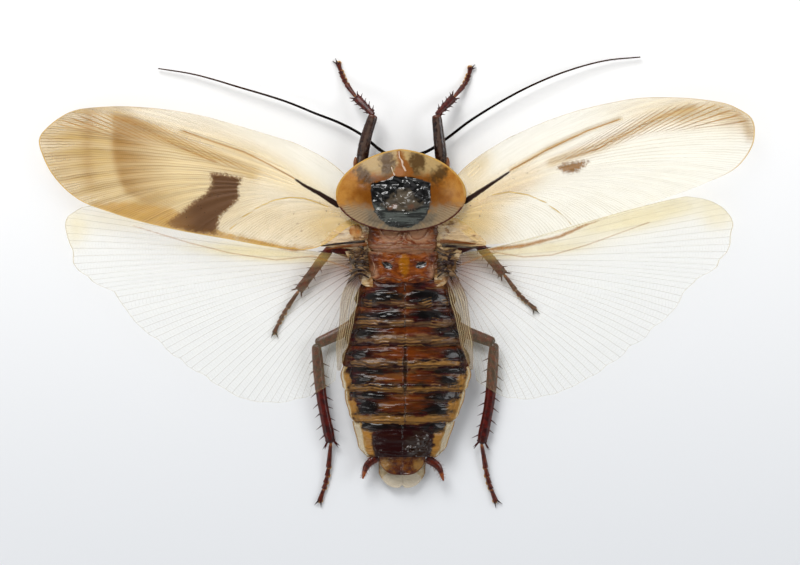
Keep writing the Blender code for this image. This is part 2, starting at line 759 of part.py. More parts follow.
def make_head():
    head = head_shell("head", 0.0, "head")
    palps = []
    for side, sign in SIDES.items():
        path = through([
            (sign * 1.1, 21.6, 1.9), (sign * 1.9, 20.9, 1.3), (sign * 2.7, 19.9, 1.3),
            (sign * 2.5, 18.8, 1.0), (sign * 1.9, 18.3, 0.8),
        ], 8)
        palps.append(limb(f"palp_{side}", path, [0.34, 0.34, 0.32, 0.3, 0.3, 0.33, 0.33, 0.15],
                          [0.34, 0.34, 0.32, 0.3, 0.3, 0.33, 0.33, 0.15], "head", sides=6))
    fuse(head, palps)
    for side, sign in SIDES.items():
        eye = pebble(f"eye_{side}", (sign * 2.75, 23.5, 4.9), (0.95, 1.35, 1.9), (0.0, 0.55, 0.8), "eye")
        cutter = head_shell("eye_clearance", GAP, "head")
        cut(eye, cutter)
        bpy.data.objects.remove(cutter, do_unlink=True)


ANTENNA_ROUTES = {
    "left": (
        (2.0, 25.1, 4.3), (4.4, 26.6, 3.2), (8.0, 29.6, 2.2), (12.6, 32.1, 2.0), (17.2, 33.9, 2.0),
        (22.6, 36.1, 2.0), (32.5, 39.2, 1.7), (42.4, 42.0, 1.2), (49.1, 43.1, 0.8),
    ),
    "right": (
        (2.0, 25.2, 4.3), (5.2, 26.4, 3.2), (9.2, 29.1, 2.2), (13.4, 32.3, 2.0), (17.6, 35.0, 2.0),
        (24.6, 38.9, 2.0), (33.4, 42.6, 1.7), (41.2, 44.7, 1.2), (48.0, 45.4, 0.8),
    ),
}


def make_antennae():
    for side, sign in SIDES.items():
        route = through([(sign * x, y, z) for x, y, z in ANTENNA_ROUTES[side]], 241)
        last = len(route) - 1
        bounds = np.linspace(0, last, ANTENNA_LENGTHS + 1).astype(int)
        spacing = np.linalg.norm(np.diff(route, axis=0), axis=1).mean()
        skip = 1 + int(GAP / spacing)
        for number in range(ANTENNA_LENGTHS):
            start = bounds[number] + (skip if number else 0)
            picks = np.linspace(start, bounds[number + 1], 9).astype(int)
            taper = [blend(ANTENNA_BASE_RADIUS, ANTENNA_TIP_RADIUS, pick / last) for pick in picks]
            limb(f"antenna_{side}_{number + 1}", route[picks], taper, taper, "antenna", sides=6)


# Legs: hip, thigh, shin and foot, each as its own piece

LEGS = {
    "fore_left": {
        "coxa": ((3.0, 17.0, 1.85), (6.2, 21.0, 2.6), (8.3, 23.0, 3.0)),
        "femur": ((8.5, 23.8, 3.3), (7.2, 29.0, 4.2), (5.7, 33.6, 4.5)),
        "tibia": ((5.95, 34.4, 4.25), (9.3, 37.3, 2.0)),
        "tarsus": ((9.6, 37.7, 1.55), (11.3, 40.9, 0.6), (12.7, 44.2, 0.38)),
        "claws": ((-0.2, 1.0), (1.2, 0.3)),
    },
    "fore_right": {
        "coxa": ((3.0, 17.0, 1.85), (6.0, 21.0, 2.6), (8.1, 23.0, 3.0)),
        "femur": ((8.2, 23.8, 3.3), (7.4, 29.0, 4.2), (6.9, 33.6, 4.5)),
        "tibia": ((7.05, 34.35, 4.25), (10.5, 37.3, 2.0)),
        "tarsus": ((10.75, 37.65, 1.6), (12.9, 41.0, 0.6), (13.8, 43.4, 0.38)),
        "claws": ((0.1, 1.0), (1.1, 0.2)),
    },
    "mid_left": {
        "coxa": ((2.9, 8.8, 1.5), (4.6, 6.3, 1.4), (5.5, 4.4, 1.3)),
        "femur": ((6.55, 4.0, 1.7), (10.4, 6.0, 2.4), (14.2, 7.2, 2.9)),
        "tibia": ((14.95, 6.7, 2.7), (20.8, -1.7, 1.2)),
        "tarsus": ((21.1, -2.2, 1.0), (24.2, -6.9, 0.5), (25.8, -10.2, 0.38)),
        "claws": ((-0.9, -1.1), (0.6, -1.0)),
    },
    "mid_right": {
        "coxa": ((2.9, 8.8, 1.5), (4.6, 6.3, 1.4), (5.5, 4.4, 1.3)),
        "femur": ((6.55, 4.2, 1.7), (10.8, 6.6, 2.4), (15.0, 8.1, 2.9)),
        "tibia": ((15.75, 7.65, 2.7), (20.5, 1.6, 1.2)),
        "tarsus": ((20.8, 1.1, 1.0), (24.4, -3.2, 0.5), (26.9, -5.4, 0.38)),
        "claws": ((-0.5, -1.3), (0.9, -0.9)),
    },
    "hind_left": {
        "coxa": ((2.4, 2.0, 1.4), (3.6, -1.4, 1.3), (4.3, -4.3, 1.2)),
        "femur": ((4.9, -5.0, 1.25), (11.2, -9.4, 1.6), (17.3, -12.4, 2.2)),
        "tibia": ((17.65, -13.2, 2.1), (16.0, -24.0, 1.8), (14.3, -32.3, 1.3)),
        "tarsus": ((14.3, -32.9, 1.1), (15.3, -40.0, 0.5), (16.6, -44.1, 0.38)),
        "claws": ((1.1, -0.8), (-0.3, -1.3)),
    },
    "hind_right": {
        "coxa": ((2.4, 2.0, 1.4), (3.6, -1.4, 1.3), (4.3, -4.3, 1.2)),
        "femur": ((4.9, -5.0, 1.25), (11.8, -9.4, 1.6), (18.6, -12.2, 2.2)),
        "tibia": ((19.1, -13.0, 2.1), (17.6, -24.0, 1.8), (16.0, -32.5, 1.3)),
        "tarsus": ((16.1, -33.25, 1.05), (17.6, -40.5, 0.5), (18.9, -44.1, 0.38)),
        "claws": ((1.4, -0.6), (0.0, -1.4)),
    },
}
LEG_SIZES = {
    "fore": {"coxa": 1.5, "femur": 1.2, "tibia": 0.75, "tarsus": 0.45},
    "mid": {"coxa": 1.6, "femur": 1.15, "tibia": 0.75, "tarsus": 0.45},
    "hind": {"coxa": 1.8, "femur": 1.25, "tibia": 0.9, "tarsus": 0.5},
}
LEG_FLATNESS = {"coxa": 0.55, "femur": 0.62, "tibia": 0.75, "tarsus": 0.85}
FEMUR_TAPER = (0.55, 0.86, 1.0, 1.0, 0.96, 0.88, 0.78, 0.68, 0.4)
COXA_TAPER = (0.6, 0.95, 1.0, 0.95, 0.8, 0.66, 0.4)
TIBIA_TAPER = (0.45, 0.8, 0.8, 0.82, 0.86, 0.92, 1.0, 1.05, 0.75)
TARSUS_SEGMENTS = (0.0, 0.42, 0.56, 0.68, 0.78, 1.0)
SPINE_COUNTS = {"fore": 5, "mid": 5, "hind": 10}
SPINE_SPAN = (0.2, 0.86)       # shares of the shin's length at its first and last side spine
SPINE_LEAN = 0.75              # how far a side spine leans towards the foot for each step outwards
CROWN_COUNTS = {"fore": 2, "mid": 2, "hind": 4}
CROWN_SHARE = 0.97
CROWN_LEANS = (1.5, 2.6)
SPINE_LENGTHS = {"fore": 1.1, "mid": 1.2, "hind": 1.6}
SPINE_ROOT = 0.26
CLAW_ROOT = 0.22
CLAW_SPREAD = 0.13
CLAW_DEPTH = 0.4
CLAW_TIP_HEIGHT = 0.12


def spike(name, root, tip, radius, material, sides=5):
    """A straight tapered spine or claw."""
    root = Vector(root)
    tip = Vector(tip)
    along = (tip - root).normalized()
    across = along.orthogonal().normalized()
    over = along.cross(across)
    points = []
    for side in range(sides):
        angle = 2.0 * math.pi * side / sides
        points.append(root + across * (radius * math.cos(angle)) + over * (radius * math.sin(angle)))
    points.append(tip)
    faces = [(side, (side + 1) % sides, sides) for side in range(sides)]
    faces.append(tuple(reversed(range(sides))))
    part = add_mesh(name, points, faces, material)
    mend_facing(part)
    return part


def shin_spines(name, kind, path, half_width, random):
    """Spines in two rows along a shin, leaning towards the foot, and a crown of them at its end."""
    ahead = Vector(path[-1]) - Vector(path[0])
    ahead.z = 0.0
    ahead.normalize()
    aside = Vector((-ahead.y, ahead.x, 0.0))
    stations = [(share, SPINE_LEAN) for share in np.linspace(*SPINE_SPAN, SPINE_COUNTS[kind])]
    stations += [(CROWN_SHARE, CROWN_LEANS[k // 2]) for k in range(CROWN_COUNTS[kind])]
    fine = through(path, 101)
    spines = []
    for number, (share, lean) in enumerate(stations):
        place = Vector(fine[int(round(100 * share))])
        outward = aside if number % 2 else -aside
        length = SPINE_LENGTHS[kind] * random.uniform(0.8, 1.1)
        lift = Vector((0.0, 0.0, random.uniform(0.0, 0.25)))
        direction = (outward + ahead * (lean + random.uniform(-0.1, 0.1)) + lift).normalized()
        root = place + outward * (0.4 * half_width)
        tip = place + outward * (0.8 * half_width) + direction * length
        spines.append(spike(f"{name}_spine_{number}", root, tip, SPINE_ROOT, "leg"))
    return spines


def make_foot(name, leg, kind):
    """A foot of five swelling segments that ends in two claws."""
    rings = 13
    path = through(leg["tarsus"], rings)
    half = LEG_SIZES[kind]["tarsus"]
    widths = []
    for ring in range(rings):
        share = ring / (rings - 1)
        segment = max(k for k, start in enumerate(TARSUS_SEGMENTS[:-1]) if share >= start - 1e-9)
        start = TARSUS_SEGMENTS[segment]
        end = TARSUS_SEGMENTS[segment + 1]
        widths.append(half * blend(0.68, 1.0, ((share - start) / (end - start)) ** 1.5))
    widths[-1] = 0.95 * half
    heights = [max(0.26, LEG_FLATNESS["tarsus"] * width) for width in widths]
    foot = limb(name, path, widths, heights, "leg", sides=6, lowest=0.0)
    end = Vector(path[-1])
    ahead = (end - Vector(path[-2])).normalized()
    claws = []
    for number, reach in enumerate(leg["claws"]):
        tip = end + Vector((reach[0], reach[1], 0.0))
        tip.z = CLAW_TIP_HEIGHT
        beside = (tip - end).cross(ahead).z
        outward = Vector((ahead.y, -ahead.x, 0.0)) * math.copysign(CLAW_SPREAD, beside)
        root = end - ahead * CLAW_DEPTH + outward
        root.z = end.z + 0.04
        claws.append(spike(f"{name}_claw_{number}", root, tip, CLAW_ROOT, "leg", sides=4))
    return fuse(foot, claws)


def make_legs():
    random = np.random.default_rng(7)
    for leg_name, leg in LEGS.items():
        kind, side = leg_name.split("_")
        sign = SIDES[side]
        placed = {}
        for piece in ("coxa", "femur", "tibia", "tarsus"):
            placed[piece] = [(sign * x, y, z) for x, y, z in leg[piece]]
        placed["claws"] = [(sign * x, y) for x, y in leg["claws"]]
        sizes = LEG_SIZES[kind]
        for piece, taper in (("coxa", COXA_TAPER), ("femur", FEMUR_TAPER), ("tibia", TIBIA_TAPER)):
            path = through(placed[piece], len(taper))
            widths = [sizes[piece] * share for share in taper]
            heights = [LEG_FLATNESS[piece] * width for width in widths]
            name = f"{piece}_{leg_name}"
            part = limb(name, path, widths, heights, "leg")
            if piece == "tibia":
                fuse(part, shin_spines(name, kind, path, sizes[piece], random))
        make_foot(f"tarsus_{leg_name}", placed, kind)


def stand_on_origin():
    """Moves the model so that its box is centred over the origin with its lowest point at height 0."""
    corners = []
    for part in bpy.data.objects:
        corners += [vertex.co for vertex in part.data.vertices]
    corners = np.array(corners)
    low = corners.min(axis=0)
    high = corners.max(axis=0)
    shift = Vector((-0.5 * (low[0] + high[0]), -0.5 * (low[1] + high[1]), -low[2]))
    for part in bpy.data.objects:
        part.location = shift


remove_everything()
make_pronotum()
make_thorax()
make_tergites()
make_belly()
make_tail()
make_wings()
make_hinges()
make_head()
make_antennae()
make_legs()
stand_on_origin()
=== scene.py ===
import math

import bpy
import numpy as np
from mathutils import Euler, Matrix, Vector


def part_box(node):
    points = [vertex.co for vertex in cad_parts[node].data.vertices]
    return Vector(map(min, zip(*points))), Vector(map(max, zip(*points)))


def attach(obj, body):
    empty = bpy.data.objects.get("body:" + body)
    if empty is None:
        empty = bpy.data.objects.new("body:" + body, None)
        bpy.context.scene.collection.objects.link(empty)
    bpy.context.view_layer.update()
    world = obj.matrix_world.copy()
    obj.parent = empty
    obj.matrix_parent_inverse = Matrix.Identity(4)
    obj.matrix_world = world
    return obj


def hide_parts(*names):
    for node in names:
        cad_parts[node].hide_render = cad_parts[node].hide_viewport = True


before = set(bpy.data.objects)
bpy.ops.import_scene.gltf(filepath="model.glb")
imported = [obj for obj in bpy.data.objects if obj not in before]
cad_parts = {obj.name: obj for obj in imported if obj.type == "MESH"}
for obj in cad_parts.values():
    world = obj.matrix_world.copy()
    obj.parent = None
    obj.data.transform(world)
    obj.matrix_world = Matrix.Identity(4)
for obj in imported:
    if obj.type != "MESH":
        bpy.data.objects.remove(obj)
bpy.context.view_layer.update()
print("frame loaded:", len(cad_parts), "nodes")

# All sizes below are in millimetres from the body's midline: +x is the animal's right, +y its head.
# The shield's box says where that midline lies in the frame.
millimetre = 0.001
shieldMiddle = (-0.2, 18.35)
shieldLow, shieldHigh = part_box("pronotum")
frameShift = np.array([
    0.5 / millimetre * (low + high) - middle for low, high, middle in zip(shieldLow, shieldHigh, shieldMiddle)
] + [0.0])
sides = {"left": -1.0, "right": 1.0}
farOutside = -9.0  # the distance in mm given to places that a marking doesn't reach
pieceNames = []


# Numbers and curves

def blend(low, high, share):
    return low + (high - low) * share


def ramp(value, start, end):  # 0 before start, 1 after end, smooth between
    share = np.clip((value - start) / (end - start), 0.0, 1.0)
    return share * share * (3.0 - 2.0 * share)


def unit(vectors):
    return vectors / np.maximum(np.linalg.norm(vectors, axis=-1, keepdims=True), 1e-12)


def bell(value, middle, width):
    return np.exp(-((value - middle) / width) ** 2)


def through(points, count):  # evenly spaced points on a smooth curve through a few points
    points = np.asarray(points, float)
    steps = np.linalg.norm(np.diff(points, axis=0), axis=1)
    places = np.concatenate([[0.0], np.cumsum(steps)])
    slopes = np.gradient(points, places, axis=0)
    fine = np.linspace(0.0, places[-1], 40 * len(points))
    span = np.clip(np.searchsorted(places, fine, side="right") - 1, 0, len(points) - 2)
    length = (places[span + 1] - places[span])[:, None]
    share = ((fine - places[span]) / length[:, 0])[:, None]
    squared = share * share
    cubed = squared * share
    curve = (2.0 * cubed - 3.0 * squared + 1.0) * points[span]
    curve = curve + (cubed - 2.0 * squared + share) * length * slopes[span]
    curve = curve + (3.0 * squared - 2.0 * cubed) * points[span + 1]
    curve = curve + (cubed - squared) * length * slopes[span + 1]
    travelled = np.concatenate([[0.0], np.cumsum(np.linalg.norm(np.diff(curve, axis=0), axis=1))])
    wanted = np.linspace(0.0, travelled[-1], count)
    return np.stack([np.interp(wanted, travelled, column) for column in curve.T], axis=1)


def hashed(cells, seed):  # a fixed random value from -1 to 1 for each whole-number cell
    code = cells[..., 0] * 73856093 ^ cells[..., 1] * 19349663 ^ cells[..., 2] * 83492791
    code = (code ^ (seed * 40503)) & 0x7FFFFFFF
    code = ((code ^ (code >> 13)) * 1274126177) & 0x7FFFFFFF
    return ((code ^ (code >> 16)) & 0xFFFF) / 32767.5 - 1.0


def unevenness(points, size, seed=0):  # smooth random relief, whose lumps are about size across
    places = np.asarray(points, float) / np.asarray(size, float)
    cells = np.floor(places).astype(np.int64)
    share = places - cells
    share = share * share * (3.0 - 2.0 * share)
    total = 0.0
    for corner in np.ndindex(2, 2, 2):
        weight = np.prod(np.where(np.array(corner) == 1, share, 1.0 - share), axis=-1)
        total = total + weight * hashed(cells + np.array(corner), seed)
    return total


def layered(points, size, seed=0, count=3):  # unevenness with finer layers added to it
    size = np.asarray(size, float)
    return sum(unevenness(points, size / 2.0 ** k, seed + k) / 2.0 ** k for k in range(count))


def level(x, y, height=0.0):  # places with one height for all
    return np.stack([x, y, np.full_like(x, height)], axis=-1)


def grid(rows, columns, first=-1.0):  # shares across, from first to 1, and along, from 0 to 1
    return np.meshgrid(np.linspace(first, 1.0, columns), np.linspace(0.0, 1.0, rows))


def onSide(side, points):  # points given outward from the midline, on that side of the animal
    return [(sides[side] * x, y, z) for x, y, z in points]


def flatCurve(points, count):
    return through([(x, y, 0.0) for x, y in points], count)


# Signed distances in millimetres, positive inside the marking

def fromSegment(x, y, start, end):
    (ax, ay), (bx, by) = start, end
    span = (bx - ax) ** 2 + (by - ay) ** 2
    share = np.clip(((x - ax) * (bx - ax) + (y - ay) * (by - ay)) / span, 0.0, 1.0)
    return np.hypot(x - ax - share * (bx - ax), y - ay - share * (by - ay))


def fromLines(x, y, lines):  # distance from the nearest of several open lines
    nearest = np.full(np.shape(x), np.inf)
    for line in lines:
        for start, end in zip(line[:-1], line[1:]):
            nearest = np.minimum(nearest, fromSegment(x, y, start, end))
    return nearest


def insideOutline(x, y, corners):
    nearest = np.full(np.shape(x), -farOutside)
    within = np.zeros(np.shape(x), bool)
    for (ax, ay), (bx, by) in zip(corners, corners[1:] + corners[:1]):
        nearest = np.minimum(nearest, fromSegment(x, y, (ax, ay), (bx, by)))
        if ay != by:
            crossing = (y > min(ay, by)) & (y <= max(ay, by))
            within ^= crossing & (x < ax + (y - ay) * (bx - ax) / (by - ay))
    return np.where(within, nearest, -nearest)


def ovalReach(x, y, middleX, middleY, halfX, halfY, turn):  # 0 in an oval's middle, 1 on its edge
    angle = math.radians(turn)
    along = (x - middleX) * math.cos(angle) + (y - middleY) * math.sin(angle)
    across = (y - middleY) * math.cos(angle) - (x - middleX) * math.sin(angle)
    return np.hypot(along / halfX, across / halfY)


def insideOvals(x, y, ovals):  # each oval is its middle, its half sizes and its turn in degrees
    deepest = np.full(np.shape(x), farOutside)
    for oval in ovals:
        deepest = np.maximum(deepest, (1.0 - ovalReach(x, y, *oval)) * min(oval[2:4]))
    return deepest


def insideBoxes(x, y, boxes):  # each box is its left, right, rear and front
    deepest = np.full(np.shape(x), farOutside)
    for left, right, rear, front in boxes:
        depth = np.minimum(np.minimum(x - left, right - x), np.minimum(y - rear, front - y))
        deepest = np.maximum(deepest, depth)
    return deepest


# Shapes are dictionaries of points, faces, flat coordinates and markings, until addPiece makes them objects

def marked(shape, **marks):  # the shape with these markings, each a value for all points or one for each
    size = len(shape["points"])
    shape["marks"] = {name: np.broadcast_to(np.ravel(values), size) for name, values in marks.items()}
    return shape


def closedShape(points, faces, flat, **marks):
    shape = {"points": points.reshape(-1, 3), "faces": faces, "flat": flat}
    return marked(outward(shape), **marks)


def outward(shape):  # turns the faces of a closed shape outwards
    points = shape["points"] - shape["points"].mean(axis=0)
    volume = 0.0
    for group in shape["faces"]:
        for corner in range(1, group.shape[1] - 1):
            first, second, third = [points[group[:, k]] for k in (0, corner, corner + 1)]
            volume += np.einsum("ij,ij->", first, np.cross(second, third))
    if volume <= 0.0:
        shape["faces"] = [group[:, ::-1] for group in shape["faces"]]
    return shape


def quadsOf(index, following):  # four-sided faces between rows of points and the points that follow them
    return np.stack([index[:-1], following[:-1], following[1:], index[1:]], axis=-1).reshape(-1, 4)


def sheet(x, y, top, bottom, across, share, marks):  # a sheet with two faces and a wall round its edge
    index = np.arange(x.size).reshape(x.shape)
    upper = quadsOf(index[:, :-1], index[:, 1:])
    rim = np.concatenate([index[0], index[1:, -1], index[-1, -2::-1], index[-2:0:-1, 0]])
    after = np.roll(rim, -1)
    walls = np.stack([after, rim, rim + x.size, after + x.size], axis=-1)
    points = np.stack([np.stack([x, y, height], axis=-1) for height in (top, bottom)])
    flat = np.tile(np.stack([across, share], axis=-1).reshape(-1, 2), (2, 1))
    marks = {name: np.tile(np.broadcast_to(values, x.shape).ravel(), 2) for name, values in marks.items()}
    return closedShape(points, [upper, upper[:, ::-1] + x.size, walls], flat, **marks)


def tube(path, wide, high, around=14, form=None, upward=(0.0, 0.0, 1.0), lowest=0.0):
    count = len(path)
    along = unit(np.gradient(path, axis=0))
    across = unit(np.cross(along, upward))
    over = np.cross(across, along)
    angle = 2.0 * math.pi * (np.arange(around) + 0.5) / around
    share = np.linspace(0.0, 1.0, count)[:, None]
    swell = form(share, angle[None, :]) if form else 1.0
    sideways = (wide[:, None] * np.cos(angle) * swell)[..., None] * across[:, None]
    upwards = (high[:, None] * np.sin(angle) * swell)[..., None] * over[:, None]
    rings = path[:, None] + sideways + upwards
    points = np.concatenate([rings.reshape(-1, 3), path[:1], path[-1:]])
    points[:, 2] = np.maximum(points[:, 2], lowest)
    index = np.arange(count * around).reshape(count, around)
    beside = np.roll(index, -1, axis=1)
    start = np.stack([beside[0], index[0], np.full(around, count * around)], axis=-1)
    end = np.stack([index[-1], beside[-1], np.full(around, count * around + 1)], axis=-1)
    flat = np.stack(np.broadcast_arrays(angle / (2.0 * math.pi), share), axis=-1).reshape(-1, 2)
    flat = np.concatenate([flat, [[0.5, 0.0], [0.5, 1.0]]])
    return closedShape(points, [quadsOf(index, beside), start, end], flat, length=flat[:, 1])


def alongRings(values, around, start, end):  # a tube's marking from one value for each ring and for both ends
    return np.concatenate([np.repeat(values, around), [start, end]])


def lump(middle, radii, turn=(0.0, 0.0, 0.0), rows=14, around=20, form=None):  # a closed rounded body
    down = math.pi * (np.arange(rows) + 0.5)[:, None] / rows
    angle = 2.0 * math.pi * np.arange(around) / around
    directions = np.stack(np.broadcast_arrays(
        np.sin(down) * np.cos(angle), np.sin(down) * np.sin(angle), np.cos(down)), axis=-1).reshape(-1, 3)
    directions = np.concatenate([directions, [[0.0, 0.0, 1.0], [0.0, 0.0, -1.0]]])
    swell = form(directions)[:, None] if form else 1.0
    rotation = Euler([math.radians(value) for value in turn]).to_matrix()
    points = directions * swell * radii @ np.array(rotation).T + middle
    index = np.arange(rows * around).reshape(rows, around)
    beside = np.roll(index, -1, axis=1)
    top = np.stack([index[0], beside[0], np.full(around, rows * around)], axis=-1)
    foot = np.stack([beside[-1], index[-1], np.full(around, rows * around + 1)], axis=-1)
    walls = np.stack([index[:-1], index[1:], beside[1:], beside[:-1]], axis=-1).reshape(-1, 4)
    return closedShape(points, [walls, top, foot], directions[:, :2] * 0.5 + 0.5)


def joined(shapes, missing=farOutside):  # several shapes as one; missing is for markings that a shape lacks
    faces = []
    start = 0
    for shape in shapes:
        faces += [group + start for group in shape["faces"]]
        start += len(shape["points"])
    whole = {key: np.concatenate([shape[key] for shape in shapes]) for key in ("points", "flat")}
    marks = {}
    for name in sorted({name for shape in shapes for name in shape["marks"]}):
        values = [shape["marks"].get(name, np.full(len(shape["points"]), missing)) for shape in shapes]
        marks[name] = np.concatenate(values)
    return dict(whole, faces=faces, marks=marks)


def addObject(name, data):
    thing = bpy.data.objects.new(name, data)
    bpy.context.scene.collection.objects.link(thing)
    return thing


def addPiece(name, shape, material, slot, *nodes):
    mesh = bpy.data.meshes.new(name)
    shape["points"][:, 2] = np.maximum(shape["points"][:, 2], 0.0)
    places = (shape["points"] + frameShift) * millimetre
    faces = [tuple(face) for group in shape["faces"] for face in group.tolist()]
    mesh.from_pydata(places.tolist(), [], faces)
    mesh.update()
    corners = np.empty(len(mesh.loops), np.int32)
    mesh.loops.foreach_get("vertex_index", corners)
    layer = mesh.uv_layers.new(name="UVMap")
    layer.data.foreach_set("uv", shape["flat"][corners].astype(np.float32).ravel())
    for markName, values in shape["marks"].items():
        attribute = mesh.attributes.new(markName, "FLOAT", "POINT")
        attribute.data.foreach_set("value", values.astype(np.float32))
    mesh.shade_smooth()
    mesh.set_sharp_from_angle(angle=math.radians(50.0))
    mesh.materials.append(material)
    piece = addObject(name, mesh)
    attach(piece, "root")
    if nodes:
        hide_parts(*nodes)
    pieceNames.append(name)


# Shader helpers

def addNode(tree, kind, inputs=None, **settings):
    node = tree.nodes.new(kind)
    for key, value in settings.items():
        setattr(node, key, value)
    for key, value in (inputs or {}).items():
        if isinstance(value, bpy.types.NodeSocket):
            tree.links.new(value, node.inputs[key])
        else:
            node.inputs[key].default_value = value
    return node


def maths(tree, operation, first, second=0.0, third=0.0, clamp=False):
    return addNode(tree, "ShaderNodeMath", {0: first, 1: second, 2: third},
                   operation=operation, use_clamp=clamp).outputs[0]


def times(tree, first, *others):
    for other in others:
        first = maths(tree, "MULTIPLY", first, other)
    return first


def towards(tree, value, target, share):  # the value moved by that share of its way to the target
    return maths(tree, "MULTIPLY_ADD", share, maths(tree, "SUBTRACT", target, value), value)


lightLevel = 1.17  # how much light reaches a level surface, and the faint sheen that it adds to a dark one
sheenLevel = 0.012
screenGamma = 2.2


def shownLight(tone):  # how bright each part of a tone from 0 to 255 is on a screen
    return [(value / 255.0) ** screenGamma for value in tone]


def colour(tone):  # the shader's colour for a tone seen on a screen in this light
    return tuple(max(0.0006, (value - sheenLevel) / lightLevel) for value in shownLight(tone)) + (1.0,)


def mixed(tree, factor, first, second, manner="MIX"):
    values = {0: factor, 6: first, 7: second}
    node = addNode(tree, "ShaderNodeMix", values, data_type="RGBA", blend_type=manner)
    return node.outputs[2]


def eased(tree, value, low, high, start=0.0, end=1.0):  # a smooth step from start to end
    inputs = {"Value": value, "From Min": low, "From Max": high, "To Min": start, "To Max": end}
    return addNode(tree, "ShaderNodeMapRange", inputs, interpolation_type="SMOOTHSTEP").outputs[0]


def marking(tree, name):
    return addNode(tree, "ShaderNodeAttribute", attribute_name=name).outputs["Fac"]


def ownPlace(tree):  # places in the model's own space
    return addNode(tree, "ShaderNodeTexCoord").outputs["Object"]


def noise(tree, place, scale, detail):
    inputs = {"Vector": place, "Scale": scale, "Detail": detail}
    return addNode(tree, "ShaderNodeTexNoise", inputs).outputs["Fac"]


def speckle(tree, size, detail=3.0):  # noise whose lumps are size mm across
    return noise(tree, ownPlace(tree), 1.0 / (size * millimetre), detail)


def newGroup(name, inputs, outputs):
    group = bpy.data.node_groups.new(name, "ShaderNodeTree")
    for socketName, value in inputs.items():
        socket = group.interface.new_socket(socketName, in_out="INPUT", socket_type="NodeSocketFloat")
        socket.default_value = value
    for socketName in outputs:
        group.interface.new_socket(socketName, in_out="OUTPUT", socket_type="NodeSocketFloat")
    return group, group.nodes.new("NodeGroupInput").outputs, group.nodes.new("NodeGroupOutput").inputs


def placed(tree, group, **inputs):  # a group in a material, with its own values; spaces in names are left out
    node = tree.nodes.new("ShaderNodeGroup")
    node.node_tree = group
    for socket in node.inputs:
        value = inputs.get(socket.name.replace(" ", ""))
        if isinstance(value, bpy.types.NodeSocket):
            tree.links.new(value, socket)
        elif value is not None:
            socket.default_value = value
    return node.outputs


def drawnOut(group, stretch):  # places on the object, with patterns drawn out from side to side
    ways = addNode(group, "ShaderNodeSeparateXYZ", {0: ownPlace(group)}).outputs
    across = maths(group, "DIVIDE", ways["X"], stretch)
    return addNode(group, "ShaderNodeCombineXYZ", {0: across, 1: ways["Y"], 2: ways["Z"]}).outputs[0]


def makeEdgeGroup():  # a marking with a soft, slightly ragged edge from a signed distance
    group, given, result = newGroup(
        "raggedEdge", {"Distance": 0.0, "Softness": 0.1, "Wobble": 0.1, "Size": 0.6, "Stretch": 1.0},
        ("Mask",))
    scale = maths(group, "DIVIDE", 1.0 / millimetre, given["Size"])
    bumps = noise(group, drawnOut(group, given["Stretch"]), scale, 3.0)
    moved = times(group, maths(group, "SUBTRACT", bumps, 0.5), given["Wobble"], 3.0)
    distance = maths(group, "ADD", given["Distance"], moved)
    below = times(group, given["Softness"], -1.0)
    group.links.new(eased(group, distance, below, given["Softness"]), result["Mask"])
    return group


def makeVeinGroup():  # long veins along the wing's rays, which fork as they spread, with fine cross-veins
    group, given, result = newGroup("wingVeins", {
        "Across": 0.0, "Along": 0.0, "Spread": 100.0, "Reach": 60.0, "Cells": 11.4,
        "Spacing": 0.6, "Thickness": 0.07, "Cross Spacing": 0.7,
    }, ("Long Veins", "Cross Veins"))
    phase = maths(group, "MULTIPLY_ADD", given["Across"], given["Cells"], -0.2)
    cellWidth = maths(group, "DIVIDE", given["Spread"], given["Cells"])
    thin = times(group, given["Thickness"], 0.4)
    closest = times(group, given["Spacing"], 1.25)
    veins = 0.0
    for fork in range(5):  # each fork halves the spacing, and shows where there is room for it
        place = maths(group, "FRACT", maths(group, "MULTIPLY_ADD", phase, 2.0 ** fork, 0.5))
        offset = maths(group, "ABSOLUTE", maths(group, "SUBTRACT", place, 0.5))
        spacing = maths(group, "DIVIDE", cellWidth, 2.0 ** fork)
        line = eased(group, times(group, offset, spacing), given["Thickness"], thin)
        if fork:
            line = times(group, line, eased(group, spacing, given["Spacing"], closest))
        veins = maths(group, "MAXIMUM", line, veins)
    cell = maths(group, "FLOOR", times(group, phase, 4.0))
    start = addNode(group, "ShaderNodeTexWhiteNoise", {"W": cell}, noise_dimensions="1D").outputs[0]
    steps = maths(group, "DIVIDE", times(group, given["Along"], given["Reach"]), given["Cross Spacing"])
    place = maths(group, "FRACT", maths(group, "ADD", steps, start))
    offset = maths(group, "ABSOLUTE", maths(group, "SUBTRACT", place, 0.5))
    crossing = eased(group, times(group, offset, given["Cross Spacing"]),
                     times(group, given["Thickness"], 0.8), times(group, thin, 0.5))
    group.links.new(veins, result["Long Veins"])
    group.links.new(crossing, result["Cross Veins"])
    return group


def makeHornGroup():  # the mottling, fine grain and dust of dried horny plates
    group, given, result = newGroup(
        "hornGrain", {"Mottle Size": 2.0, "Grain Size": 0.12, "Stretch": 1.0}, ("Mottle", "Grain", "Dust"))
    place = drawnOut(group, given["Stretch"])
    for name, detail in (("Mottle", 4.0), ("Grain", 2.0)):
        scale = maths(group, "DIVIDE", 1.0 / millimetre, given[name + " Size"])
        group.links.new(noise(group, place, scale, detail), result[name])
    group.links.new(eased(group, noise(group, place, 0.4 / millimetre, 6.0), 0.5, 0.75), result["Dust"])
    return group


edgeGroup = makeEdgeGroup()
veinGroup = makeVeinGroup()
hornGroup = makeHornGroup()


def ragged(tree, mark, softness, wobble, size, stretch=1.0):  # a marking's mask with a soft, ragged edge
    return placed(tree, edgeGroup, Distance=marking(tree, mark), Softness=softness, Wobble=wobble, Size=size,
                  Stretch=stretch)["Mask"]


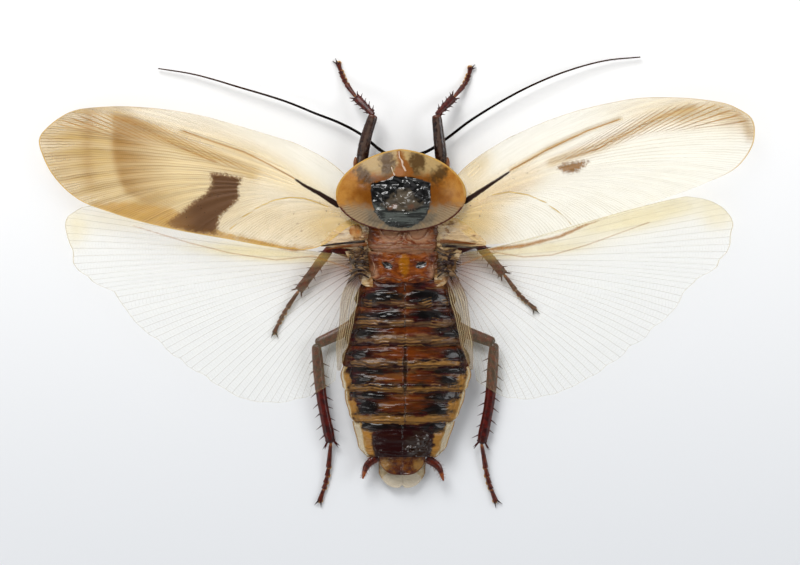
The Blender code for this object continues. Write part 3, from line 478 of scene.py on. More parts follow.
def newMaterial(name, **constants):  # constants are numbers set on the shader's own sockets
    material = bpy.data.materials.new(name)
    material.use_nodes = True
    tree = material.node_tree
    shader = tree.nodes["Principled BSDF"]
    for key, value in constants.items():
        shader.inputs[key.replace("_", " ")].default_value = value
    return material, tree, shader.inputs


def setBump(tree, sockets, height, depth):  # depth in mm for a height of 1
    values = {"Height": height, "Distance": depth * millimetre, "Strength": 1.0}
    bump = addNode(tree, "ShaderNodeBump", values)
    tree.links.new(bump.outputs[0], sockets["Normal"])


hornDefaults = {
    "shine": 0.3, "coat": 0.0, "relief": 0.03, "dust": 0.0, "stretch": 1.0,
    "mottleSize": 1.6, "grainSize": 0.15, "wobbleSize": 0.7,
}
grainTones = ((90, 80, 70), (255, 250, 245))
dustTone = (190, 175, 150)


# A horny plate: layers of markings over a base colour, mottled, with a grain in its surface. Each layer is
# a marking, its tone, softness, wobble and strength, and then its roughness and its coat where it has them.
def hornMaterial(name, plan):
    finish = dict(hornDefaults, **plan)
    material, tree, sockets = newMaterial(
        name, Coat_Roughness=0.08, IOR=1.5, Specular_IOR_Level=finish["shine"], Coat_Weight=finish["coat"])
    stretch = finish["stretch"]
    mottle, grain = finish["mottleSize"], finish["grainSize"]
    horn = placed(tree, hornGroup, MottleSize=mottle, GrainSize=grain, Stretch=stretch)
    tones = [colour(finish[key]) for key in ("base", "baseDark")]
    paint = mixed(tree, eased(tree, horn["Mottle"], 0.35, 0.65), *tones)
    rough = eased(tree, horn["Grain"], 0.3, 0.7, finish["rough"] - 0.08, finish["rough"] + 0.08)
    coat = finish["coat"]
    for mark, tone, softness, wobble, strength, *gloss in finish["layers"]:
        mask = times(tree, ragged(tree, mark, softness, wobble, finish["wobbleSize"], stretch), strength)
        paint = mixed(tree, mask, paint, colour(tone))
        if gloss:
            rough = towards(tree, rough, gloss[0], mask)
        if len(gloss) > 1:
            coat = towards(tree, coat, gloss[1], mask)
    grain = mixed(tree, horn["Grain"], *[colour(tone) for tone in grainTones])
    paint = mixed(tree, 0.35, paint, grain, "MULTIPLY")
    if finish["dust"]:
        dust = times(tree, horn["Dust"], finish["dust"])
        paint = mixed(tree, dust, paint, colour(dustTone))
        rough = maths(tree, "ADD", rough, dust)
    if "clear" in finish:  # a thin rim that lets the floor show through
        mark, tone, cover = finish["clear"]
        mask = ragged(tree, mark, 0.15, 0.05, 0.5)
        paint = mixed(tree, mask, paint, colour(tone))
        tree.links.new(maths(tree, "MULTIPLY_ADD", mask, cover - 1.0, 1.0), sockets["Alpha"])
    tree.links.new(paint, sockets["Base Color"])
    tree.links.new(rough, sockets["Roughness"])
    if isinstance(coat, bpy.types.NodeSocket):
        tree.links.new(coat, sockets["Coat Weight"])
    setBump(tree, sockets, maths(tree, "MULTIPLY_ADD", horn["Mottle"], 2.0, horn["Grain"]), finish["relief"])
    return material


# Floor, camera and light

photo = {  # mm seen across, and from where
    "width": 160.0, "middle": (-0.4, 0.0), "plane": 5.0, "distance": 600.0,
}
# near and far are the floor's colours at the bottom and top of the view: painted shade, darker towards the
# bottom where the light falls off
floorPlan = {
    "size": 1500.0, "steps": 41, "below": 0.02, "near": (0.715, 0.735, 0.765), "far": (0.90, 0.90, 0.90),
}


def makeFloor():
    row = np.linspace(-1.0, 1.0, floorPlan["steps"])
    x, y = np.meshgrid(*[np.sign(row) * row ** 2 * floorPlan["size"]] * 2)
    index = np.arange(x.size).reshape(x.shape)
    mesh = bpy.data.meshes.new("floor")
    places = level(x, y, -floorPlan["below"]).reshape(-1, 3) * millimetre
    mesh.from_pydata(places.tolist(), [], quadsOf(index[:, :-1], index[:, 1:]).tolist())
    material, tree, sockets = newMaterial("palePaper", Roughness=0.9, Specular_IOR_Level=0.15)
    place = ownPlace(tree)
    ahead = addNode(tree, "ShaderNodeSeparateXYZ", {0: place}).outputs["Y"]
    # painted shade: the floor's colour darkens towards the bottom of the view
    share = eased(tree, ahead, -70.0 * millimetre, 75.0 * millimetre)
    paint = mixed(tree, share, *[floorPlan[key] + (1.0,) for key in ("near", "far")])
    fibre = times(tree, noise(tree, place, 900.0, 4.0), 0.03)
    tree.links.new(mixed(tree, fibre, paint, (0.6, 0.6, 0.6, 1.0)), sockets["Base Color"])
    mesh.materials.append(material)
    floor = addObject("floor", mesh)


def makeCamera():
    camera = bpy.data.cameras.new("camera")
    camera.sensor_width = 36.0
    camera.lens = camera.sensor_width * photo["distance"] / photo["width"]
    camera.clip_start = 0.01
    camera.clip_end = 10.0
    holder = addObject("camera", camera)
    place = np.array([*photo["middle"], photo["plane"] + photo["distance"]]) + frameShift
    holder.location = Vector(place * millimetre)
    bpy.context.scene.camera = holder


lamps = {  # place in mm, size in mm, watts, colour
    "softboxFront": ((-170.0, 400.0, 380.0), 300.0, 2.7, (1.0, 0.995, 0.985)),
    "softboxSide": ((420.0, 60.0, 330.0), 240.0, 0.8, (0.97, 0.985, 1.0)),
    "softboxRear": ((-380.0, -260.0, 360.0), 240.0, 0.5, (1.0, 0.99, 0.97)),
}


def makeLight():
    for name, (place, size, watts, tint) in lamps.items():
        lamp = bpy.data.lights.new(name, "AREA")
        lamp.shape = "SQUARE"
        lamp.size = size * millimetre
        lamp.energy = watts
        lamp.color = tint
        holder = addObject(name, lamp)
        holder.location = Vector(place) * millimetre
        holder.rotation_euler = (-Vector(place)).to_track_quat("-Z", "Y").to_euler()
    world = bpy.data.worlds.new("softRoom")  # darker overhead, so that glossy plates keep deep tones
    world.use_nodes = True
    tree = world.node_tree
    direction = addNode(tree, "ShaderNodeTexCoord").outputs["Generated"]
    height = addNode(tree, "ShaderNodeSeparateXYZ", {0: direction}).outputs["Z"]
    background = tree.nodes["Background"].inputs
    background["Color"].default_value = (1.0, 1.0, 1.0, 1.0)
    tree.links.new(eased(tree, height, 0.55, 1.0, 0.6, 0.14), background["Strength"])
    bpy.context.scene.world = world
    bpy.context.scene.view_settings.view_transform = "Standard"


makeFloor()
makeCamera()
makeLight()
print("stage, camera and light made")


# Wings. Rays run from a short root to the margin; a ray is a Bezier curve whose guide points are given
# for some of the margin's points. Sizes are outward from the midline on either side.

wingRoot = 7.7
bodyMiddle = 0.2
wingSpan = 72.0
wingDroop = 2.0
wings = {
    "tegmen_left": {
        "level": 6.0, "swell": 0.35, "root": (13.2, 11.2), "veins": 11,
        "margin": (
            (21.8, 28.0), (32.3, 31.2), (40.8, 33.5), (49.2, 34.8), (60.5, 35.1), (66.0, 34.3),
            (70.2, 31.8), (72.7, 28.8), (71.9, 25.2), (70.2, 21.9), (65.2, 16.9), (57.6, 13.8),
            (45.0, 10.5), (35.0, 8.7), (26.0, 7.1), (19.6, 6.5),
        ),
        "rays": {
            0: ((8.2, 20.2), (13.4, 24.4)), 4: ((17.6, 22.6), (36.0, 30.4)),
            7: ((20.8, 21.8), (45.0, 28.8)), 10: ((21.6, 20.4), (42.7, 23.6)),
            12: ((19.4, 19.2), (33.0, 20.0)), 13: ((16.6, 17.8), (26.8, 17.4)),
            14: ((13.6, 14.6), (20.7, 12.8)), 15: ((12.0, 13.0), (12.6, 7.0)),
        },
    },
    "tegmen_right": {
        "level": 6.0, "swell": 0.35, "root": (13.2, 11.0), "veins": 11,
        "margin": (
            (21.5, 29.0), (27.8, 31.8), (35.0, 34.3), (41.2, 35.8), (46.8, 36.8), (53.9, 37.0),
            (60.2, 36.6), (66.5, 35.2), (70.3, 32.4), (70.5, 28.4), (67.8, 23.8), (60.0, 19.6),
            (51.8, 16.6), (42.5, 13.6), (33.5, 10.7), (24.0, 8.2), (16.4, 7.5),
        ),
        "rays": {
            0: ((8.6, 21.4), (13.6, 24.4)), 5: ((16.0, 22.8), (33.6, 31.8)),
            8: ((19.2, 22.0), (42.0, 31.0)), 10: ((20.8, 20.8), (43.6, 26.8)),
            13: ((18.8, 19.4), (31.6, 21.8)), 14: ((16.6, 17.8), (27.6, 19.6)),
            15: ((14.0, 15.0), (20.6, 13.6)), 16: ((11.6, 12.2), (12.0, 8.8)),
        },
    },
    "hindwing_left": {
        "level": 4.95, "swell": -0.3, "root": (5.4, 2.2), "veins": 12,
        "margin": (
            (62.0, 15.7), (65.8, 14.3), (67.4, 12.9), (67.7, 10.9), (66.6, 7.7), (66.2, 4.5),
            (63.7, 1.3), (60.4, -0.7), (57.6, -2.3), (55.6, -5.3), (53.0, -8.5), (49.0, -11.7),
            (45.0, -15.3), (41.0, -18.0), (37.0, -20.5), (32.9, -22.9), (26.4, -24.1),
            (20.4, -23.3), (16.2, -21.6), (13.4, -19.6),
        ),
        "rays": {
            0: ((24.0, 5.6), (42.0, 12.6)), 4: ((20.0, 5.2), (42.0, 7.2)),
            9: ((20.0, 2.4), (38.0, -0.6)), 16: ((12.4, -1.6), (19.5, -12.8)),
            19: ((11.2, -2.6), (12.2, -12.0)),
        },
    },
    "hindwing_right": {
        "level": 4.95, "swell": -0.3, "root": (5.4, 2.2), "veins": 12,
        "margin": (
            (57.2, 17.3), (62.4, 16.2), (65.6, 13.9), (66.5, 11.0), (65.6, 7.2), (63.7, 3.7),
            (59.6, 0.7), (57.0, -1.4), (55.6, -4.1), (53.5, -6.7), (50.9, -8.8), (48.8, -11.0),
            (46.3, -12.7), (43.8, -14.9), (38.4, -18.6), (32.8, -21.5), (27.2, -23.1),
            (21.6, -23.2), (17.6, -21.5), (14.9, -19.6),
        ),
        "rays": {
            0: ((22.0, 6.4), (42.0, 14.6)), 3: ((20.0, 5.2), (42.0, 8.0)),
            9: ((20.0, 2.4), (37.0, -0.2)), 16: ((13.6, -1.6), (20.5, -12.4)),
            19: ((12.6, -1.6), (13.8, -12.0)),
        },
    },
}
wingBuild = {"thickness": 0.14, "ridge": 0.16, "ridgeHalf": 0.22, "betweenVeins": 12, "rows": 130}
ridgeForm = ((-1.0, -0.5, 0.0, 0.5, 1.0), (0.0, 0.7, 1.0, 0.7, 0.0))  # places across a ridge, and heights


def wingRays(wing, sign):
    margin = through(wing["margin"], 400)
    shares = np.linspace(0.0, 1.0, len(margin))
    keys = sorted(wing["rays"])
    stops = []
    for key in keys:
        distances = np.linalg.norm(margin - wing["margin"][key], axis=1)
        stops.append(shares[np.argmin(distances)])
    guides = np.array([wing["rays"][key] for key in keys])
    front, rear = [np.array((wingRoot + sign * bodyMiddle, y)) for y in wing["root"]]

    def between(share, places, points):
        return np.stack([np.interp(share, places, column) for column in points.T], axis=-1)

    def ray(share):
        bends = [between(share, stops, guides[:, k]) for k in (0, 1)]
        return blend(front, rear, np.asarray(share)[..., None]), *bends, between(share, shares, margin)

    return ray


def wingPlace(ray, share, reach):
    root, first, second, tip = ray(share)
    reach = np.asarray(reach, float)[..., None]
    rest = 1.0 - reach
    near = rest ** 3 * root + 3.0 * rest ** 2 * reach * first
    return near + 3.0 * rest * reach ** 2 * second + reach ** 3 * tip


def wingGrid(wing, ray):  # rows of shares from front to rear, dense at the main veins, and the veins' ridges
    pitch = 1.0 / (wing["veins"] + 0.4)
    centres = pitch * (0.2 + np.arange(wing["veins"]))
    centres[0] = 0.35 * pitch
    shares = []
    ridges = []
    for reach in np.linspace(0.0, 1.0, wingBuild["rows"]):
        row = [[0.0]]
        lift = [[0.0]]
        for centre in centres:
            beside = wingPlace(ray, centre + 0.01, reach) - wingPlace(ray, centre, reach)
            width = np.linalg.norm(beside) / 0.01
            foot = min(wingBuild["ridgeHalf"] / max(width, 1e-6), 0.14 * pitch)
            rise = wingBuild["ridge"] * min(1.0, foot * width / wingBuild["ridgeHalf"]) * (1.0 - 0.6 * reach)
            after = centre + pitch if centre < centres[-1] else 1.0
            between = np.linspace(centre + foot, after - foot, wingBuild["betweenVeins"] + 2)[1:-1]
            row += [centre + foot * np.array(ridgeForm[0]), between]
            lift += [rise * np.array(ridgeForm[1]), 0.0 * between]
        shares.append(np.sort(np.concatenate(row + [[1.0]])))
        ridges.append(np.concatenate(lift + [[0.0]]))
    return np.array(shares), np.array(ridges)


def stretched(ray, shares, reach, stepShare, stepReach):  # mm of wing for one whole share or reach
    ahead = wingPlace(ray, shares + stepShare, reach + stepReach)
    behind = wingPlace(ray, shares - stepShare, reach - stepReach)
    return np.linalg.norm(ahead - behind, axis=-1) / (2.0 * (stepShare + stepReach))


def softField(x, y, lines, ovals):  # a field from 0 to 1 round lines and ovals that fade outwards
    rest = np.ones(np.shape(x))
    for points, width, strength in lines:
        rest = rest * (1.0 - strength * bell(fromLines(x, y, (points,)), 0.0, width))
    for *oval, strength in ovals:
        rest = rest * (1.0 - strength * np.exp(-ovalReach(x, y, *oval) ** 3))
    return 1.0 - rest


floorTone = 0.97
membraneLight = 1.07


def seenAs(tone, cover):  # the colour of a thin membrane of that cover which is seen as a tone over the floor
    own = [max(0.1 * value, (value - (1.0 - cover) * floorTone) / cover) for value in shownLight(tone)]
    return tuple(value / membraneLight for value in own) + (1.0,)


# A membrane's colour and cover: washes of tones, each with its mask, over the first tone. The two faces
# share the cover, and shade is how much of it casts shadows.
def paintMembrane(tree, sockets, tones, washes, shade):
    tone, amount = tones["sheet"]
    paint = seenAs(tone, amount)
    for name, mask in washes:
        tone, cover = tones[name]
        amount = towards(tree, amount, cover, mask)
        share = maths(tree, "DIVIDE", times(tree, mask, cover), maths(tree, "MAXIMUM", amount, 0.001))
        paint = mixed(tree, share, paint, seenAs(tone, cover))
    clear = maths(tree, "SQRT", maths(tree, "SUBTRACT", 1.0, amount, clamp=True))
    shadow = addNode(tree, "ShaderNodeLightPath").outputs["Is Shadow Ray"]
    shown = maths(tree, "MULTIPLY_ADD", shadow, shade - 1.0, 1.0)
    tree.links.new(paint, sockets["Base Color"])
    tree.links.new(times(tree, maths(tree, "SUBTRACT", 1.0, clear), shown), sockets["Alpha"])


# Each forewing's markings: lines are points, width and strength; ovals are middle, half sizes, turn, strength
tegmenPlans = {
    "tegmen_left": {
        "blotch": (
            (-38.1, 21.8), (-35.2, 21.5), (-32.1, 20.7), (-32.9, 19.0), (-32.7, 16.9), (-34.4, 15.0),
            (-36.5, 13.2), (-37.3, 9.8), (-41.5, 10.0), (-45.6, 10.9), (-47.0, 12.0), (-45.3, 13.3),
            (-43.2, 14.6), (-41.5, 16.1), (-39.4, 17.4), (-37.9, 19.5),
        ),
        "blotchFade": (-48.0, -40.0),
        "cloud": (
            (-58.1, 33.4), (-54.4, 33.6), (-48.0, 31.0), (-40.0, 26.3), (-40.0, 13.5), (-50.4, 15.0),
            (-55.4, 17.5), (-57.0, 20.3), (-58.1, 24.1), (-58.5, 27.4),
        ),
        "cloudFade": (-57.5, -43.5),
        "rearBand": (
            (-62.0, 15.6), (-56.4, 16.1), (-48.4, 15.5), (-44.8, 13.9), (-40.4, 11.6), (-37.4, 10.7),
            (-32.4, 9.2), (-23.4, 7.3), (-15.6, 6.9), (-15.6, 6.0), (-23.4, 6.3), (-32.3, 7.9),
            (-38.6, 8.9), (-45.0, 9.9), (-51.6, 11.5), (-57.6, 13.3),
        ),
        "streak": ((-21.3, 20.6), (-19.4, 19.3), (-16.4, 17.7), (-12.9, 15.5)),
        "clavus": ((
            (-34.4, 10.7), (-31.6, 13.2), (-28.4, 15.2), (-25.4, 16.5), (-22.2, 17.0), (-19.6, 16.8),
            (-17.0, 16.0), (-14.8, 15.1),
        ), ((-10.2, 12.1), (-12.9, 8.4))),
        "trunks": (
            ((-21.4, 20.7), (-26.4, 23.5), (-31.6, 26.1), (-37.0, 27.9), (-41.6, 29.5), (-43.8, 30.3)),
            ((-37.0, 23.9), (-45.0, 27.3), (-51.6, 30.9), (-57.6, 33.1)),
        ),
        "obliques": (
            ((-25.4, 21.0), (-29.4, 22.0), (-38.4, 24.0), (-43.4, 26.2), (-49.4, 27.8), (-59.4, 28.8)),
            ((-42.4, 29.2), (-46.4, 31.0), (-53.4, 32.9), (-57.9, 33.8), (-62.9, 33.9), (-70.4, 31.6)), 19,
        ),
        "strawOvals": ((-47.0, 21.0, 21.0, 12.0, -14.0, 1.0), (-26.0, 22.5, 13.0, 3.0, -28.0, 0.8),
                       (-34.0, 31.0, 20.0, 3.0, -18.0, 0.12)),
        "goldLines": (
            (((-30.0, 25.2), (-38.0, 28.2), (-44.0, 30.2)), 0.7, 0.5),
            (((-30.0, 21.8), (-34.0, 23.4), (-42.0, 26.6), (-50.0, 30.2), (-57.0, 33.0)), 1.7, 0.85),
            (((-48.0, 35.4), (-60.0, 35.3), (-67.0, 33.9), (-71.8, 30.0)), 0.9, 0.5),
        ),
        "goldOvals": ((-65.0, 25.0, 11.0, 13.0, 0.0, 0.95), (-52.0, 14.5, 11.0, 4.5, 14.0, 0.6)),
        "baseOvals": ((-12.5, 12.0, 7.0, 5.0, 20.0, 0.85), (-21.0, 11.5, 12.0, 5.5, 0.0, 0.5)),
        "darkBand": (((-62.6, 33.5), (-63.1, 27.0), (-62.6, 20.0)), 1.2, 0.4),
        "edgeFade": (2.0, 3.0),
    },
    "tegmen_right": {
        "blotch": (
            (31.0, 22.8), (32.2, 23.7), (34.6, 24.1), (37.3, 24.3), (36.4, 23.4), (35.2, 22.3),
            (33.6, 21.8), (32.1, 22.2),
        ),
        "blotchFade": (80.0, 90.0),
        "cloud": (),
        "cloudFade": (60.0, 61.0),
        "rearBand": (),
        "streak": ((12.6, 16.2), (17.0, 19.1), (21.5, 22.1)),
        "clavus": ((
            (18.1, 17.5), (21.5, 18.1), (25.2, 17.5), (28.6, 16.0), (31.2, 14.1), (33.7, 11.6),
        ), ((10.0, 12.4), (12.6, 9.0))),
        "trunks": (
            ((21.5, 22.3), (28.6, 26.3), (37.0, 30.3), (43.4, 32.6)),
            ((32.8, 24.7), (39.2, 26.7), (45.4, 30.1), (49.7, 32.2), (56.0, 34.7)),
        ),
        "strawOvals": (
            (14.2, 22.6, 2.8, 4.6, -42.0, 0.8), (58.0, 34.6, 16.0, 3.6, 0.0, 0.6),
        ),
        "obliques": (
            ((24.6, 21.8), (29.6, 23.6), (37.6, 25.8), (42.6, 27.2), (50.1, 29.4), (57.6, 30.4)),
            ((39.6, 30.4), (44.6, 32.6), (55.6, 35.6), (61.6, 35.8), (66.6, 34.6), (69.8, 31.5)), 19,
        ),
        "goldLines": (
            (((22.0, 22.6), (29.0, 26.6), (37.0, 30.4), (43.5, 32.7)), 0.55, 0.8),
            (((30.0, 24.0), (39.0, 27.0), (46.0, 30.4), (52.0, 33.0), (58.0, 34.8)), 1.1, 0.72),
            (((56.0, 33.4), (63.0, 34.6), (68.5, 32.8), (70.2, 29.6)), 1.3, 0.6),
        ),
        "goldOvals": ((66.5, 33.0, 5.0, 3.0, -20.0, 0.3),),
        "baseOvals": ((13.5, 13.0, 7.5, 5.5, -20.0, 0.85), (20.0, 18.6, 10.0, 3.4, 26.0, 0.7)),
        "darkBand": (((66.6, 35.0), (69.2, 31.4), (69.6, 28.6)), 0.7, 0.25),
        "edgeFade": (0.5, 0.62),
    },
}


def obliqueField(x, y, start, end, count):  # the fine veins passed on the way from one line to another
    lower, upper = [flatCurve(line, count)[:, :2] for line in (start, end)]
    aways = []
    for (ax, ay), (bx, by) in zip(lower, upper):
        away = (x - ax) * (by - ay) - (y - ay) * (bx - ax)
        aways.append(away / math.hypot(bx - ax, by - ay) * np.sign(ax))
    phase = 0.0 * x
    for first, second in zip(aways[:-1], aways[1:]):
        share = np.clip(first / np.maximum(first - second, 1e-6), 0.0, 1.0)
        phase = phase + np.where(second >= 0.0, 1.0, np.where(first <= 0.0, 0.0, share))
    corners = [tuple(point) for point in (*lower[::2], *upper[::-2])]
    return phase, ramp(insideOutline(x, y, corners), -0.6, 1.0)


streakForm = {"half": 0.5, "tip": 0.35, "foot": 1.15}  # the dark streak's half width and its taper


def tegmenMarks(name, x, y, shares):
    plan = tegmenPlans[name]
    phase, field = obliqueField(x, y, *plan["obliques"])
    taper = np.linspace(streakForm["foot"], streakForm["tip"], len(plan["streak"]))
    thick = np.interp(np.abs(x), sorted(abs(point[0]) for point in plan["streak"]), taper)
    cloud = ramp(insideOutline(x, y, plan["cloud"]), -0.5, 1.2) * (1.0 - ramp(x, *plan["cloudFade"]))
    return {
        "blotch": insideOutline(x, y, plan["blotch"]),
        "blotchDepth": blend(0.12, 1.0, ramp(x, *plan["blotchFade"])),
        "cloud": cloud,
        "rearBand": insideOutline(x, y, plan["rearBand"]),
        "streak": streakForm["half"] * thick - fromLines(x, y, (plan["streak"],)),
        "clavus": fromLines(x, y, plan["clavus"]),
        "trunk": fromLines(x, y, plan["trunks"]),
        "straw": softField(x, y, (), plan["strawOvals"]),
        "gold": softField(x, y, plan["goldLines"], plan["goldOvals"]),
        "base": softField(x, y, (), plan["baseOvals"]),
        "obliquePhase": phase,
        "obliqueField": field,
        "darkBand": softField(x, y, (plan["darkBand"],), ()),
        "edgeTone": 1.0 - ramp(shares, *plan["edgeFade"]),
    }


tegmenTones = {  # the tone seen over the floor and the share of the floor that it covers
    "sheet": ((252, 251, 244), 0.28), "straw": ((238, 221, 182), 0.7), "gold": ((202, 172, 112), 0.88),
    "cloud": ((170, 132, 82), 0.95), "blotch": ((98, 70, 50), 0.98), "spot": ((152, 114, 76), 0.94),
    "rearBand": ((200, 158, 90), 0.93), "faintVein": ((190, 164, 108), 0.85), "vein": ((122, 84, 38), 0.97),
    "trunk": ((158, 110, 34), 0.96), "streak": ((40, 20, 12), 1.0), "rim": ((204, 172, 104), 0.92),
    "fold": ((208, 184, 130), 0.85), "base": ((224, 200, 154), 0.75), "dot": ((104, 70, 42), 0.9),
}


def wovenWays(tree, wobble, size):  # the wing's own coordinates, with the veins made slightly wavy
    place = addNode(tree, "ShaderNodeUVMap", uv_map="UVMap").outputs[0]
    ways = addNode(tree, "ShaderNodeSeparateXYZ", {0: place}).outputs
    shift = times(tree, maths(tree, "SUBTRACT", speckle(tree, size), 0.5), wobble)
    return maths(tree, "ADD", ways["X"], shift), ways["Y"]


def alongWing(tree, across, along):  # noise drawn out along the wing
    place = addNode(tree, "ShaderNodeUVMap", uv_map="UVMap").outputs[0]
    scaled = addNode(tree, "ShaderNodeMapping", {"Vector": place, "Scale": (across, along, 1.0)})
    return noise(tree, scaled.outputs[0], 1.0, 2.0)


def veinLines(tree, across, along, crossShare, **sizes):  # the long veins, and both kinds as one mask
    veins = placed(tree, veinGroup, Across=across, Along=along, Spread=marking(tree, "spread"),
                   Reach=marking(tree, "reach"), **sizes)
    crossing = times(tree, veins["Cross Veins"], crossShare)
    return veins["Long Veins"], maths(tree, "MAXIMUM", veins["Long Veins"], crossing)


def rimMask(tree, outer, inner):
    return times(tree, eased(tree, marking(tree, "rim"), outer, inner), marking(tree, "edgeTone"))


def makeTegmenMaterial():
    material, tree, sockets = newMaterial("tegmenMembrane", IOR=1.36, Specular_IOR_Level=0.3)
    across, along = wovenWays(tree, 0.004, 1.6)
    longVeins, lines = veinLines(
        tree, across, along, 0.55, Cells=11.4, Spacing=0.4, Thickness=0.13, CrossSpacing=0.5)
    fibre = eased(tree, alongWing(tree, 75.0, 5.0), 0.35, 0.65, 0.35, 1.0)
    lines = times(tree, lines, fibre, eased(tree, along, 0.25, 0.6, 0.15, 1.0))
    drift = eased(tree, alongWing(tree, 38.0, 3.0), 0.3, 0.7, 0.62, 1.0)
    gold = times(tree, marking(tree, "gold"), drift)
    cloud = times(tree, marking(tree, "cloud"), drift)
    straw = marking(tree, "straw")
    base = marking(tree, "base")
    band = ragged(tree, "rearBand", 0.7, 0.5, 1.5)
    depth = times(tree, straw, 0.45)  # the veins are darker where the membrane is
    for mask, share in ((gold, 0.9), (cloud, 0.8), (band, 0.6)):
        depth = maths(tree, "MAXIMUM", depth, times(tree, mask, share))
    phase = maths(tree, "MULTIPLY_ADD", speckle(tree, 5.0), 0.3, marking(tree, "obliquePhase"))
    oblique = maths(tree, "ABSOLUTE", maths(tree, "SUBTRACT", maths(tree, "FRACT", phase), 0.5))
    oblique = times(tree, eased(tree, oblique, 0.18, 0.06), marking(tree, "obliqueField"), 0.72)
    ribbed = maths(tree, "MULTIPLY_ADD", longVeins, 0.05, 0.95)
    blotch = times(tree, ragged(tree, "blotch", 0.6, 0.7, 0.45), ribbed)
    dots = times(tree, eased(tree, speckle(tree, 0.5, 1.0), 0.7, 0.76), maths(tree, "ADD", base, 0.12))
    paintMembrane(tree, sockets, tegmenTones, (
        ("straw", straw),
        ("base", base),
        ("gold", gold),
        ("cloud", cloud),
        ("cloud", marking(tree, "darkBand")),
        ("rearBand", times(tree, band, 0.8)),
        ("fold", eased(tree, marking(tree, "clavus"), 0.22, 0.06)),
        ("faintVein", times(tree, lines, 0.3)),
        ("vein", times(tree, lines, depth)),
        ("trunk", oblique),
        ("trunk", times(tree, eased(tree, marking(tree, "trunk"), 0.2, 0.05), 0.8)),
        ("spot", blotch),
        ("blotch", times(tree, blotch, marking(tree, "blotchDepth"))),
        ("dot", dots),
        ("rim", rimMask(tree, 0.3, 0.08)),
        ("streak", ragged(tree, "streak", 0.1, 0.08, 0.6)),
    ), 0.14)
    grain = speckle(tree, 0.35)
    tree.links.new(eased(tree, grain, 0.3, 0.7, 0.44, 0.54), sockets["Roughness"])
    setBump(tree, sockets, maths(tree, "MULTIPLY_ADD", grain, 0.08, lines), 0.03)
    return material


hindwingPlans = {  # the stiff front edge and its streak, then the next strong veins
    "hindwing_left": {
        "lead": ((-10.6, 7.6), (-16.0, 6.9), (-22.0, 6.6), (-30.0, 8.4), (-38.0, 11.0), (-44.0, 13.3)),
        "veins": (((-10.6, 2.9), (-17.8, 5.3), (-25.2, 4.5), (-34.4, 5.9), (-42.4, 7.9), (-54.0, 11.4)),),
        "fan": (-10.6, 2.9),
        "strawOvals": (
            (-27.0, 5.9, 15.0, 1.7, -5.0, 0.9), (-52.0, 13.5, 16.0, 2.6, 8.0, 0.35),
            (-66.0, 11.0, 3.0, 4.0, 0.0, 0.5)),
    },
    "hindwing_right": {
        "lead": ((11.2, 7.4), (18.0, 6.7), (24.6, 7.4), (31.6, 9.2), (37.6, 11.9), (41.0, 13.2)),
        "veins": (((11.2, 3.3), (18.2, 6.1), (24.4, 5.1), (30.0, 5.5), (37.0, 7.5), (49.6, 12.1)),),
        "fan": (11.2, 3.3),
        "strawOvals": (
            (25.0, 6.6, 13.0, 1.7, 4.0, 0.9), (48.0, 13.6, 18.0, 3.0, 14.0, 0.85),
            (63.5, 14.0, 4.0, 3.4, 0.0, 0.6)),
    },
}
hindwingFolds = 12.4
tegmenFolds = 22.8
hindwingTones = {
    "sheet": ((251, 251, 249), 0.05), "straw": ((238, 226, 186), 0.6), "lead": ((172, 124, 64), 0.93),
    "vein": ((146, 118, 80), 0.85), "faintVein": ((206, 200, 186), 0.6), "rim": ((214, 204, 174), 0.7),
    "root": ((178, 154, 116), 0.7),
}


def hindwingMarks(name, x, y, shares):
    plan = hindwingPlans[name]
    away = np.hypot(x - plan["fan"][0], y - plan["fan"][1])
    return {
        "lead": 0.34 * (1.0 - 0.4 * ramp(away, 8.0, 34.0)) - fromLines(x, y, (plan["lead"],)),
        "trunk": fromLines(x, y, plan["veins"]),
        "root": np.exp(-(away / 6.5) ** 1.3),
        "straw": softField(x, y, (), plan["strawOvals"]),
        "edgeTone": blend(0.35, 1.0, 1.0 - ramp(shares, 0.2, 0.45)),
    }


def makeHindwingMaterial():
    material, tree, sockets = newMaterial("hindwingMembrane", IOR=1.4, Specular_IOR_Level=0.3)
    across, along = wovenWays(tree, 0.003, 2.5)
    longVeins, lines = veinLines(
        tree, across, along, 0.4, Cells=hindwingFolds, Spacing=0.9, Thickness=0.11, CrossSpacing=0.8)
    root = marking(tree, "root")
    near = maths(tree, "MULTIPLY_ADD", root, 0.8, 0.05, clamp=True)
    paintMembrane(tree, sockets, hindwingTones, (
        ("straw", times(tree, marking(tree, "straw"), eased(tree, speckle(tree, 6.0), 0.2, 0.6, 0.7, 1.0))),
        ("root", times(tree, root, 0.6)),
        ("faintVein", times(tree, lines, 0.38)),
        ("vein", times(tree, longVeins, near)),
        ("lead", times(tree, eased(tree, marking(tree, "trunk"), 0.2, 0.05), 0.5)),
        ("lead", times(tree, ragged(tree, "lead", 0.25, 0.15, 1.5), 0.85)),
        ("rim", rimMask(tree, 0.22, 0.06)),
    ), 0.08)
    grain = speckle(tree, 0.6)
    tree.links.new(eased(tree, grain, 0.3, 0.7, 0.2, 0.36), sockets["Roughness"])
    setBump(tree, sockets, maths(tree, "MULTIPLY_ADD", grain, 0.5, lines), 0.05)
    return material


